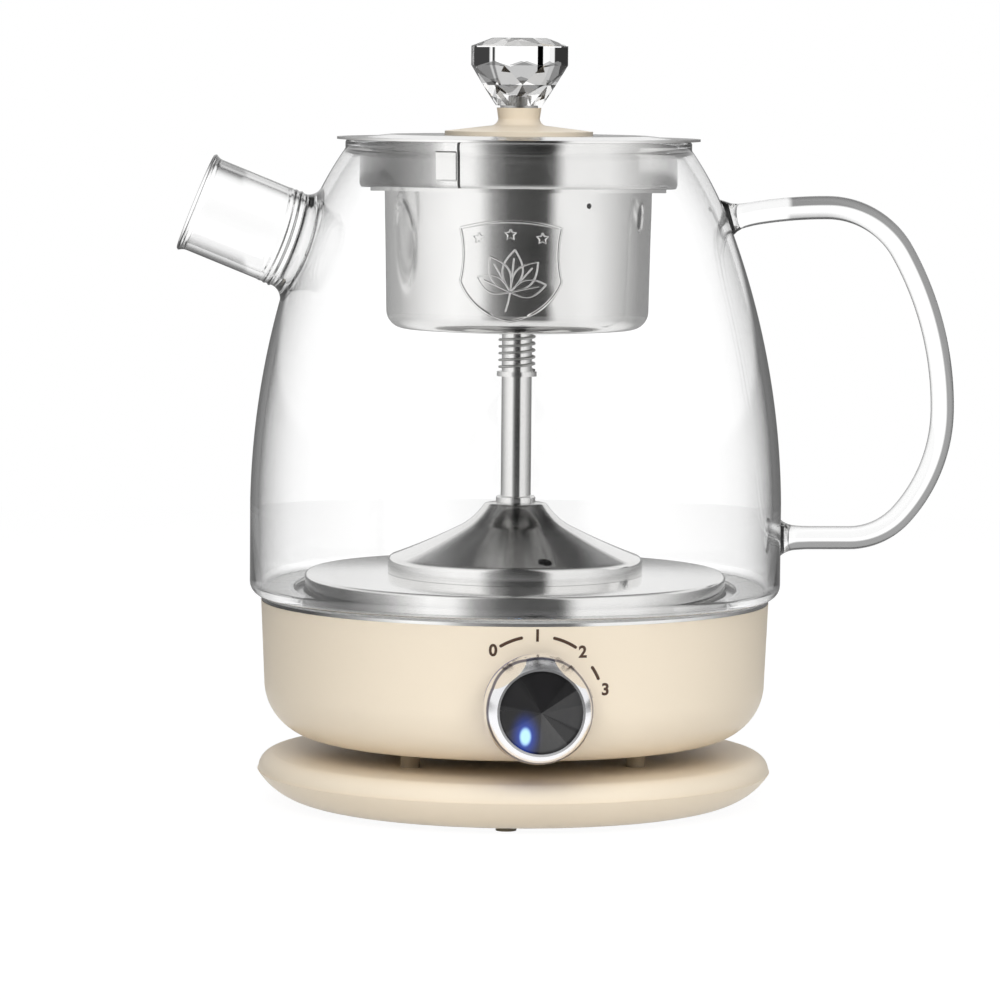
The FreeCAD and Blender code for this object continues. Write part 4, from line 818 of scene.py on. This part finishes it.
def wire_mesh(name, lines, radius, sides=4):
    """Round wires through rows of points."""
    curve = bpy.data.curves.new(name, "CURVE")
    curve.dimensions = "3D"
    curve.bevel_depth = radius
    curve.bevel_resolution = sides
    curve.use_fill_caps = True
    for line in lines:
        spline = curve.splines.new("POLY")
        spline.points.add(len(line) - 1)
        for point, spot in zip(spline.points, line):
            point.co = (*spot, 1.0)
    return evaluated(name, held(name, curve))


def touched(node, start, way):
    """Where a straight look first meets a node of the frame."""
    met, spot, normal, face = NODES[node].ray_cast(start, way)
    if not met:
        raise RuntimeError(f"nothing of {node} lies that way from {tuple(start)}")
    return spot


# ---------------------------------------------------------------- the glass jug
def outer_line(glass):
    """The jug's outside from its foot to its rim, as (radius, height)."""
    foot = GLASS_LOW.z
    return outline(
        (GLASS_REACH - glass.foot_arc, foot),
        ("arc", glass.foot_arc, False),
        (GLASS_REACH, foot + glass.foot_arc),
        (GLASS_REACH, glass.belly),
        ("arc", glass.side_arc, False),
        (glass.shoulder_radius, glass.shoulder),
        ("arc", glass.shoulder_arc, False),
        (glass.neck_radius, glass.neck),
    )


def reach_at(line, height):
    """Radius of an outline of rising points at a height."""
    for (near, low), (outer, high) in zip(line, line[1:]):
        if low <= height <= high and high > low:
            return near + (outer - near) * (height - low) / (high - low)
    return line[-1][0] if height > line[-1][1] else line[0][0]


def way_to_glass(line, start, way):
    """How far along a straight way out of the jug its outside lies, found by halving."""
    inside, outside, halvings = 0.0, 60.0 * MM, 40
    for _ in range(halvings):
        middle = (inside + outside) / 2
        spot = start + way * middle
        if math.hypot(spot.x, spot.y) < reach_at(line, spot.z):
            inside = middle
        else:
            outside = middle
    return inside


def jug_shell(glass):
    """The jug without its spout and handle: the solid form and what is hollow in it."""
    foot, edge, over = GLASS_LOW.z, 0.9 * MM, 4 * MM
    form = turned(
        [(0.0, foot)] + outer_line(glass) + outline(
            (glass.neck_radius, RIM - edge),
            ("arc", edge, False),
            (glass.neck_radius - edge, RIM),
            step=0.15 * MM,
        ) + [(0.0, RIM)],
        around=GLASS_COLUMNS,
    )
    side = GLASS_REACH - glass.wall
    floor = foot + glass.foot_floor
    lip = GLASS_REACH - glass.foot_arc - glass.foot_lip
    hollow = turned(outline(
        (0.0, foot - over),
        (lip, foot - over),
        (lip, floor),
        (side - glass.foot_inner, floor),
        ("arc", glass.foot_inner, False),
        (side, floor + glass.foot_inner),
        (side, glass.belly),
        ("arc", glass.side_arc, False),
        (glass.shoulder_radius - glass.wall * 1.1, glass.shoulder),
        ("arc", glass.shoulder_arc, False),
        (glass.neck_bore, glass.neck),
        (glass.neck_bore, RIM - edge),
        ("arc", edge, True),
        (glass.neck_bore + edge, RIM + 0.02 * MM),
        (glass.neck_bore + edge, RIM + over),
        (0.0, RIM + over),
    ), around=GLASS_COLUMNS)
    return meshed(form, "jug_form"), meshed(hollow, "jug_hollow")


def leaning_tube(name, start, way, profile, around=128):
    """A solid along a straight way. profile gives (radius, distance past the glass) points."""
    side = Vector((0.0, 1.0, 0.0))
    other = way.cross(side)
    made = bmesh.new()
    rings = []
    for radius, past in profile:
        ring = []
        for i in range(around):
            angle = math.tau * i / around
            offset = side * (radius * math.cos(angle)) + other * (radius * math.sin(angle))
            ring.append(made.verts.new(start + offset + way * past(offset)))
        rings.append(ring)
    tubed(made, rings, around)
    return meshed(made, name)


def quarter(count, first=0):
    """Sines and cosines from a part of a quarter turn to its end."""
    turns = [math.pi / 2 * part / count for part in range(first, count + 1)]
    return [(math.sin(turn), math.cos(turn)) for turn in turns]


def spout_forms(glass):
    """The spout with its fused root, and its bore."""
    way = Vector((-math.cos(glass.spout_rise), 0.0, math.sin(glass.spout_rise)))
    run = 52.0 * MM
    start = Vector((-glass.spout_reach, 0.0, glass.spout_height)) - way * run
    outer = outer_line(glass)
    inner = [(reach - glass.wall, height) for reach, height in outer]
    radius, fillet, lip = glass.spout_radius, glass.spout_fillet, glass.spout_lip

    def past(line, distance):
        return lambda offset: way_to_glass(line, start + offset, way) + distance

    def along(distance):
        return lambda offset: distance

    profile = [(radius + fillet, past(outer, -1.2 * MM))]
    profile += [
        (radius + fillet * (1 - sine), past(outer, fillet * (1 - cosine) - 0.02 * MM))
        for sine, cosine in quarter(12)
    ]
    ripples, ripple_run, ripple_steps = 3, 4.2 * MM, 24
    for part in range(1, ripple_steps + 1):
        grown = part / ripple_steps
        swell = math.sin(math.pi * ripples * grown) ** 2 * (1.2 - grown)
        profile.append(
            (radius + glass.spout_bead * swell, past(outer, fillet + ripple_run * grown))
        )
    flare = 2.6 * MM
    profile += [(radius, along(run - 10 * MM)), (radius, along(run - 6 * MM))]
    profile += [
        (radius + lip * (part / 8) ** 2, along(run - flare + (flare - lip) * part / 8))
        for part in range(9)
    ]
    profile += [
        (radius + lip - lip * (1 - cosine), along(run - lip + lip * sine))
        for sine, cosine in quarter(6, 1)
    ]
    bore, flare, edge = radius - glass.spout_wall, 2.2 * MM, 0.6 * MM
    inside = [(bore + flare, past(inner, -6.0 * MM))]
    inside += [
        (bore + flare * (1 - sine), past(inner, flare * (1 - cosine) - 0.3 * MM))
        for sine, cosine in quarter(8)
    ]
    inside += [(bore, past(inner, flare + 4 * MM)), (bore, along(run - edge))]
    inside += [
        (bore + edge * (1 - cosine), along(run - edge + edge * sine))
        for sine, cosine in quarter(5, 1)
    ]
    inside.append((bore + edge, along(run + 5 * MM)))
    return (leaning_tube("spout_form", start, way, profile),
            leaning_tube("spout_bore", start, way, inside))


def handle_path(glass):
    """Points of the rod's centre line with their directions: arcs that run on into each other."""
    heading = math.radians(15.0)
    point = Vector((glass.rod_reach, 0.0, glass.rod_root))
    points = [(point, heading)]
    for radius, degrees in ((113.6, 15.0), (23.0, 60.0), (83.4, 30.0), (41.0, 42.0), (18.6, 48.0)):
        radius, bend = radius * MM, math.radians(degrees)
        side = heading - math.pi / 2
        centre = point + upright(side) * radius
        count = max(4, math.ceil(radius * bend / (1.2 * MM)))
        for part in range(1, count + 1):
            at = side + math.pi - bend * part / count
            points.append((centre + upright(at) * radius, heading - bend * part / count))
        point, heading = points[-1]
    root = Vector((GLASS_REACH - glass.wall, 0.0, point.z))
    count = math.ceil((point.x - root.x) / (0.8 * MM))
    points += [(point.lerp(root, part / count), heading) for part in range(1, count + 1)]
    return points


def handle_form(glass, around=48):
    """The rod, swelling where it is fused to the jug."""
    line = outer_line(glass)
    made = bmesh.new()
    rings = []
    for spot, heading in handle_path(glass):
        up = Vector((-math.sin(heading), 0.0, math.cos(heading)))
        clear = (spot.x - reach_at(line, spot.z)) / glass.rod_weld_length
        near = min(max(1.0 - clear, 0.0), 1.0)
        ripple = math.sin(math.pi * min(max(clear / 1.6, 0.0), 1.0)) ** 2 * 0.18 * MM
        radius = glass.rod_radius + (glass.rod_weld - glass.rod_radius) * near ** 2.2 + ripple
        rings.append([
            made.verts.new(
                spot + up * (radius * math.cos(math.tau * i / around))
                + Vector((0.0, radius * math.sin(math.tau * i / around), 0.0))
            )
            for i in range(around)
        ])
    tubed(made, rings, around)
    return meshed(made, "handle_form")


class TEA_OT_glass(bpy.types.Operator):
    """Makes the jug, spout and handle as one fused glass"""

    bl_idname = "tea.glass"
    bl_label = "Glass Jug"

    def execute(self, context):
        glass = context.scene.tea_glass
        form, hollow = jug_shell(glass)
        spout, bore = spout_forms(glass)
        fused = combined("glass_jug", form, [spout, handle_form(glass)], [hollow, bore])
        added("glass_jug", smoothed(fused, 42.0), "clear_glass", "jug",
              ["glass_body", "glass_shoulder", "glass_spout", "glass_handle"])
        return {"FINISHED"}


# ---------------------------------------------------------------- base and housing
def plate_mesh():
    """The heating plate with its raised middle, turned from sheet."""
    low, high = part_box("heating_plate")
    flange, sheet, step, edge = low.z + 0.8 * MM, 0.8 * MM, 55.3 * MM, 1.0 * MM
    return meshed(turned(outline(
        (0.0, PLATE_TOP),
        (step - edge, PLATE_TOP),
        ("arc", edge, True),
        (step, PLATE_TOP - edge),
        (step, flange + 0.6 * MM),
        ("arc", 0.6 * MM, False),
        (step + 0.6 * MM, flange),
        (high.x, flange),
        (high.x, low.z),
        (step - sheet, low.z),
        (step - sheet, high.z - sheet),
        (0.0, high.z - sheet),
        step=0.2 * MM,
    )), "plate_form")


class TEA_OT_base(bpy.types.Operator):
    """Finishes the power base and its connector"""

    bl_idname = "tea.base"
    bl_label = "Power Base"

    def execute(self, context):
        dress(tea_cream="base_lower_shell base_upper_shell", tea_rubber="base_feet",
              tea_screw="base_screws", tea_brass="connector_contacts",
              tea_black="connector_housing connector_post cord_bush")
        return {"FINISHED"}


class TEA_OT_housing(bpy.types.Operator):
    """Finishes the jug's housing with what is held in it"""

    bl_idname = "tea.housing"
    bl_label = "Housing"

    def execute(self, context):
        dress(tea_cream="jug_housing bottom_cover board_posts", tea_rubber="jug_feet",
              seal_rubber="jug_seal", tea_screw="cover_screws", tea_black="coupler_socket",
              tea_brass="coupler_pin", tea_grey="thermostats rotary_switch",
              dull_aluminium="heat_spreader heating_element", circuit_board="control_board")
        added("plate_form", smoothed(plate_mesh(), 30.0), "plate_steel", "jug",
              ["heating_plate"])
        return {"FINISHED"}


# ---------------------------------------------------------------- print round the knob
def printed(name, mesh):
    """Lays a flat mesh drawn in X and Z on the front of the housing, as a thin film of ink."""
    film = bpy.context.scene.tea_print.film
    in_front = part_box("jug_housing")[0].y - 20 * MM
    made = bmesh.new()
    made.from_mesh(mesh)
    bmesh.ops.triangulate(made, faces=made.faces)
    bmesh.ops.subdivide_edges(made, edges=made.edges, cuts=1)
    for corner in made.verts:
        look = Vector((corner.co.x, in_front, corner.co.z))
        corner.co.y = touched("jug_housing", look, Vector((0.0, 1.0, 0.0))).y - film
    made.to_mesh(mesh)
    made.free()
    mesh.update()
    return added(name, mesh, "printed_ink", "jug")


def figure_mesh(name, text, x, z, height):
    """One printed figure, standing upright round its middle."""
    letters = bpy.data.curves.new(name, "FONT")
    letters.body = text
    letters.size = height / 0.7
    letters.resolution_u = 4
    letters.offset = 0.05 * height
    mesh = evaluated(name, held(name, letters))
    low, high = (Vector([end(v.co[i] for v in mesh.vertices) for i in range(3)])
                 for end in (min, max))
    mesh.transform(Matrix.Translation((x, 0.0, z)) @ Matrix.Rotation(math.pi / 2, 4, "X")
                   @ Matrix.Translation((low + high) / -2))
    return mesh


def dash_mesh(name, circle, width, first, last):
    """A round-ended dash on a circle round the knob, between two clock angles in degrees."""
    made = bmesh.new()
    count = max(4, round(abs(last - first) / 2))
    edges = []
    for part in range(-3, count + 4):
        inside = min(max(part, 0), count)
        angle = math.radians(first + (last - first) * inside / count)
        beyond = (part - inside) / 3.0
        half = max(width / 2 * math.sqrt(max(1.0 - abs(beyond) ** 2, 0.0)), 0.02 * MM)
        out = Vector((math.sin(angle), 0.0, math.cos(angle)))
        forward = Vector((math.cos(angle), 0.0, -math.sin(angle)))
        spot = Vector((KNOB.x, 0.0, KNOB.z)) + out * circle + forward * (width / 2 * beyond)
        edges.append((made.verts.new(spot + out * half), made.verts.new(spot - out * half)))
    for (outer, inner), (outer_next, inner_next) in zip(edges, edges[1:]):
        made.faces.new((outer, outer_next, inner_next, inner))
    return meshed(made, name)


class TEA_OT_print(bpy.types.Operator):
    """Prints the figures and dashes round the rotary knob"""

    bl_idname = "tea.dial_print"
    bl_label = "Dial Print"

    def execute(self, context):
        sizes = context.scene.tea_print
        for figure, angle in (("0", -38.0), ("1", 0.0), ("2", 40.0), ("3", 77.0)):
            name, turn = f"figure_{figure}", math.radians(angle)
            x = KNOB.x + sizes.circle * math.sin(turn)
            z = KNOB.z + sizes.circle * math.cos(turn)
            printed(name, figure_mesh(name, figure, x, z, sizes.figure))
        dashes = ((17.7, -31.0, -13.0), (17.7, 14.0, 33.0), (17.0, 55.5, 66.5))
        for number, (reach, first, last) in enumerate(dashes, start=1):
            name = f"dial_dash_{number}"
            printed(name, dash_mesh(name, reach * MM, sizes.line, first, last))
        return {"FINISHED"}


# ---------------------------------------------------------------- knob, lid, basket and riser
class TEA_OT_knob(bpy.types.Operator):
    """Finishes the rotary knob, its dark face, its lamp and the ring behind it"""

    bl_idname = "tea.knob"
    bl_label = "Rotary Knob"

    def execute(self, context):
        dress(knob_chrome="knob_shell", black_gem="knob_gem", tea_screw="knob_shaft",
              lit_ring="light_ring", lamp_lens="led")
        return {"FINISHED"}


def band_mesh(low, high):
    """The split band with its edges turned in."""
    reach, edge, hem = BAND_REACH, 0.3 * MM, 1.3 * MM
    profile = outline(
        (reach - 2 * edge, high),
        (reach - edge, high),
        ("arc", edge, True),
        (reach, high - edge),
        (reach, low + hem),
        ("arc", 2.0 * MM, True),
        (reach - 0.5 * MM, low),
        (reach - 1.1 * MM, low),
        (reach - 2 * edge, low + hem),
        step=0.2 * MM,
    )
    return part_turned("band_form", profile, -115.6, 243.4, 240)


def tab_mesh(low, high):
    """The small tab beside the band's split, with sloping edges."""
    root, foot, top = (BAND_REACH + proud * MM for proud in (-0.2, 0.05, 0.35))
    slope = 0.4 * MM
    profile = [(root, low), (foot, low), (top, low + slope),
               (top, high - slope), (foot, high), (root, high)]
    return part_turned("band_tab", profile, -124.6, -117.0, 8)


class TEA_OT_lid(bpy.types.Operator):
    """Finishes the lid with its spring band and cut crystal knob"""

    bl_idname = "tea.lid"
    bl_label = "Lid"

    def execute(self, context):
        dress(tea_steel="lid_plate lid_skirt", tea_cream="lid_disc",
              tea_screw="crystal_seat knob_stud lid_nut", cut_crystal="crystal_knob")
        low, high = (corner.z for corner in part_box("spring_band"))
        added("band_form", smoothed(band_mesh(low, high)), "band_steel", "lid",
              ["spring_band"])
        added("band_tab", smoothed(tab_mesh(low + 1.7 * MM, high - 2.0 * MM), 20.0),
              "tea_steel", "lid")
        return {"FINISHED"}


def leaf_lines(root, lean, size):
    """The edge and the midrib of a pointed leaf, as rows of (across, up) points."""
    way = Vector((math.sin(lean), math.cos(lean)))
    side = Vector((math.cos(lean), -math.sin(lean)))

    def row(fullness, last=1.0):
        return [root + way * (size * last * part / 12)
                + side * (size * fullness * math.sin(math.pi * part / 12)) for part in range(13)]

    return [row(0.24), row(-0.24), row(0.0, 0.8)]


def star_line(middle, size):
    """The closed edge of a five-pointed star."""
    turns = [(size * (0.5 if part % 2 else 1.0), math.pi * part / 5) for part in range(11)]
    return [middle + Vector((reach * math.sin(turn), reach * math.cos(turn)))
            for reach, turn in turns]


def shield_lines(shield):
    """The shield's ridge, and the sprig and stars on it, as rows of (across, up) points."""
    half, top = shield.width / 2, shield.height / 2
    brow, waist = 0.86 * top, -0.22 * top
    crown, flank, point = 48.0 * MM, 28.1 * MM, 15.5 * MM
    ridge = outline(
        (-half, brow), ("arc", crown, True), (half, brow), ("arc", flank, False), (half, waist),
        ("arc", point, True), (0.0, -top), ("arc", point, True), (-half, waist),
        ("arc", flank, False), (-half, brow),
    )
    root = Vector((0.0, -5.4 * MM))
    motif = [[Vector((-1.2 * MM, -10.4 * MM)), Vector((-0.5 * MM, -8.0 * MM)), root]]
    for lean, size in ((-66, 9.2), (-30, 10.4), (6, 10.8), (42, 10.4), (78, 9.2)):
        motif += leaf_lines(root, math.radians(lean), size * MM)
    motif += [star_line(Vector((across * MM, up * MM)), 1.5 * MM)
              for across, up in ((-8.0, 8.2), (0.0, 9.2), (8.0, 8.2))]
    return ridge, motif


def laid_on(node, lines, bearing, height, inset):
    """Rows of (across, up) points cast onto a node from one side."""
    out = Vector(on_circle(1.0, bearing))
    side = Vector((-out.y, out.x, 0.0))
    laid, clear = [], 80 * MM
    for line in lines:
        row = [out * clear + side * across + Vector((0.0, 0.0, height + up)) for across, up in line]
        laid.append([touched(node, spot, -out) - out * inset for spot in row])
    return laid


class TEA_OT_basket(bpy.types.Operator):
    """Finishes the tea basket"""

    bl_idname = "tea.basket"
    bl_label = "Tea Basket"

    def execute(self, context):
        shield = context.scene.tea_shield
        dress(tea_steel="basket_cup basket_strainer guide_sleeve")
        ridge, motif = shield_lines(shield)
        for name, lines, wire in (("shield_ridge", [ridge], shield.ridge),
                                  ("shield_motif", motif, shield.wire)):
            laid = laid_on("basket_cup", lines, shield.bearing, shield.middle, wire * 0.35)
            mesh = smoothed(wire_mesh(name, laid, wire, 2), 60.0)
            added(name, mesh, "tea_steel", "basket")
        return {"FINISHED"}


def coil_mesh(name, radius, wire, low, high, turns, steps=40):
    """A round-wire coil with closed ends, of so many steps in each turn."""
    count = turns * steps
    points = [
        on_circle(radius, math.tau * turns * part / count, low + (high - low) * part / count)
        for part in range(count + 1)
    ]
    return wire_mesh(name, [points], wire, 5)


def bell_mesh():
    """The bell: a rolled skirt, a hollow side and a flat crown, with a hole through the side."""
    low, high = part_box("steam_bell")
    reach, bottom, top = high.x, PLATE_TOP + 0.05 * MM, high.z
    bore, sheet, shoulder = 3.95 * MM, 0.8 * MM, 63.2 * MM
    shell = meshed(turned(outline(
        (bore, top),
        (7.5 * MM, top),
        ("arc", 1.0 * MM, True),
        (8.4 * MM, top - 0.6 * MM),
        ("arc", 20.0 * MM, False),
        (13.8 * MM, 73.7 * MM),
        ("arc", 180.0 * MM, False),
        (reach - 1.3 * MM, 64.9 * MM),
        ("arc", 1.8 * MM, True),
        (reach, shoulder),
        (reach, bottom),
        (reach - sheet, bottom),
        (reach - sheet, shoulder),
        (13.2 * MM, 72.6 * MM),
        (7.9 * MM, top - 1.3 * MM),
        (bore, top - sheet),
        step=0.3 * MM,
    )), "bell_form")
    below, above = 60.0 * MM, 72.0 * MM
    drill = meshed(turned([(0.0, below), (BELL_HOLE, below), (BELL_HOLE, above), (0.0, above)], 32),
                   "bell_drill")
    drill.transform(Matrix.Translation(BELL_HOLE_AT))
    return combined("bell_form", shell, [], [drill])


class TEA_OT_riser(bpy.types.Operator):
    """Finishes the riser and its bell, and winds the spring between basket and riser"""

    bl_idname = "tea.riser"
    bl_label = "Riser And Bell"

    def execute(self, context):
        dress(tea_steel="riser_tube spray_cap bell_ferrule spring_washer")
        added("bell_form", smoothed(bell_mesh(), 35.0), "bell_steel", "riser",
              ["steam_bell"])
        wire = 0.34 * MM
        mesh = coil_mesh("riser_coil", SPRING_HIGH.x - wire, wire, SPRING_LOW.z + wire,
                         SPRING_HIGH.z - wire, 6)
        coil = added("riser_coil", smoothed(mesh, 60.0), "tea_screw",
                     replaced=["riser_spring"])
        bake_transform(coil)
        return {"FINISHED"}


# ---------------------------------------------------------------- stage
def soft_lamp(name, place, aim_height, width, height, power):
    """A soft lamp that neither steel nor glass shows, turned to a point above the table."""
    lamp = bpy.data.lights.new(name, "AREA")
    lamp.shape = "RECTANGLE"
    lamp.size, lamp.size_y = width, height
    lamp.energy = power
    holder = bpy.data.objects.new(name, lamp)
    bpy.context.scene.collection.objects.link(holder)
    holder.visible_glossy = False
    holder.visible_transmission = False
    holder.location = place
    way = Vector((0.0, 0.0, aim_height)) - Vector(place)
    holder.rotation_euler = way.to_track_quat("-Z", "Y").to_euler()


def light_path(finish):
    """Whether a look has met a matt surface, has been mirrored, and has gone through glass."""
    depths = finish.node("ShaderNodeLightPath").socket.node.outputs
    names = ("Diffuse Depth", "Glossy Depth", "Transmission Depth")
    return [Value(finish, depths[name]) > 0.5 for name in names]


def round_about(finish, x, y):
    """How bright mirrored surroundings are: a dark doorway in front, and grey sides."""
    return finish.around(x, y, (
        (-180, 0.16), (-130, 0.36), (-85, 0.84), (-60, 1.0), (-38, 0.98), (-26, 0.30), (-12, 0.06),
        (8, 0.02), (20, 0.03), (29, 0.90), (62, 0.86), (96, 0.44), (126, 0.2), (180, 0.16))) * 1.2


def studio_world(stage):
    """White behind all, with a dark doorway in front and grey sides for polished metal."""
    world = bpy.data.worlds.new("studio")
    bpy.context.scene.world = world
    studio = Finish("studio", world)
    x, y, z = studio.axes(studio.where("Generated"))
    rise = z.worked("ARCSINE", z)
    light = round_about(studio, x, y)
    behind = rise.eased(2.5 * DEGREE, 4.5 * DEGREE) * (y > 0.0)
    wall = 0.92
    light = light + (wall - light) * behind * (1.0 - rise.eased(31 * DEGREE, 42 * DEGREE))
    light = light - light * rise.eased(38 * DEGREE, 70 * DEGREE) * 0.45
    bounced, mirrored, through = light_path(studio)
    plain = 1.0 + through * (0.14 - rise.eased(34 * DEGREE, 46 * DEGREE) * 1.07)
    strength = plain + (light - plain) * mirrored
    strength = strength + (stage.ambient - strength) * bounced
    sky = studio.node("ShaderNodeBackground", None, {"Color": grey(1.0), "Strength": strength})
    studio.finish_with("ShaderNodeOutputWorld", Surface=sky)


def pale_floor(stage):
    """A round white floor that keeps the shadow under the feet."""
    finish = Finish("pale_floor")
    point = finish.where()
    lit = finish.principled({
        "Base_Color": finish.mixed(finish.noise(point, 240.0, 3.0), grey(0.93), grey(0.9)),
        "Roughness": 0.9, "Specular_IOR_Level": 0.0,
    })
    bounced, mirrored, through = light_path(finish)
    x, y, z = finish.axes(point)
    beyond = mirrored * far(x, y).eased(0.12, 0.35)
    glow = 1.1 + (round_about(finish, x, y) - 1.1) * beyond + through * 0.04
    own = finish.node("ShaderNodeEmission", None, {"Color": grey(1.0), "Strength": glow})
    both = finish.node(
        "ShaderNodeMixShader", None, {0: (1.0 - bounced) * stage.floor_glow, 1: lit, 2: own}
    )
    finish.finish_with(Surface=both)
    made = bmesh.new()
    bmesh.ops.create_circle(made, cap_ends=True, segments=96, radius=stage.floor_radius)
    floor = bpy.data.objects.new("floor", meshed(made, "floor"))
    floor.data.materials.append(finish.block)
    bpy.context.scene.collection.objects.link(floor)


class TEA_OT_stage(bpy.types.Operator):
    """Sets up the camera, the soft lamps, the white surroundings and the floor"""

    bl_idname = "tea.stage"
    bl_label = "Stage"

    def execute(self, context):
        scene = context.scene
        stage = scene.tea_stage
        camera = bpy.data.cameras.new("camera")
        camera.lens = stage.lens
        camera.clip_end = 200.0
        holder = bpy.data.objects.new("camera", camera)
        scene.collection.objects.link(holder)
        place = Vector((stage.distance * math.sin(stage.bearing),
                        -stage.distance * math.cos(stage.bearing), stage.height))
        aim = Vector((stage.aim_side, 0.0, stage.aim_height))
        facing = (aim - place).to_track_quat("-Z", "Y").to_matrix()
        holder.matrix_world = (Matrix.Translation(place) @ facing.to_4x4()
                               @ Matrix.Rotation(stage.roll, 4, "Z"))
        scene.camera = holder
        scene.view_settings.view_transform = "Standard"
        studio_world(stage)
        pale_floor(stage)
        soft_lamp("front_soft", (-0.36, -1.32, 0.85), 0.09, 0.9, 0.9, 11.5)
        soft_lamp("right_soft", (0.5, -1.15, 0.7), 0.09, 0.7, 0.9, 5.5)
        soft_lamp("top_soft", (0.0, -0.1, 1.3), 0.1, 1.0, 1.0, 6.0)
        return {"FINISHED"}


# ---------------------------------------------------------------- sidebar and run
class TEA_PT_panel(bpy.types.Panel):
    """The steps and the settings they use"""

    bl_idname = "TEA_PT_panel"
    bl_label = "Tea Maker"
    bl_space_type = "VIEW_3D"
    bl_region_type = "UI"
    bl_category = "Tea Maker"

    def draw(self, context):
        layout = self.layout
        for step in STEPS:
            layout.operator(step.bl_idname)
        for name in SETTINGS:
            group = getattr(context.scene, name)
            section = layout.box()
            for field in group.__annotations__:
                section.prop(group, field)


STEPS = (TEA_OT_stage, TEA_OT_base, TEA_OT_housing, TEA_OT_print, TEA_OT_glass, TEA_OT_knob,
         TEA_OT_lid, TEA_OT_basket, TEA_OT_riser)
SETTINGS = {"tea_finishes": TeaFinishes, "tea_glass": TeaGlass, "tea_print": TeaPrint,
            "tea_shield": TeaShield, "tea_stage": TeaStage}


def register():
    for group in (*SETTINGS.values(), *STEPS, TEA_PT_panel):
        bpy.utils.register_class(group)
    for name, group in SETTINGS.items():
        setattr(bpy.types.Scene, name, PointerProperty(type=group))


def unregister():
    for name in SETTINGS:
        delattr(bpy.types.Scene, name)
    for group in (TEA_PT_panel, *reversed(STEPS), *SETTINGS.values()):
        bpy.utils.unregister_class(group)


def main():
    register()
    bpy.ops.tea.stage()
    bpy.ops.tea.base()
    bpy.ops.tea.housing()
    bpy.ops.tea.dial_print()
    bpy.ops.tea.glass()
    bpy.ops.tea.knob()
    bpy.ops.tea.lid()
    bpy.ops.tea.basket()
    bpy.ops.tea.riser()


if __name__ == "__main__":
    main()
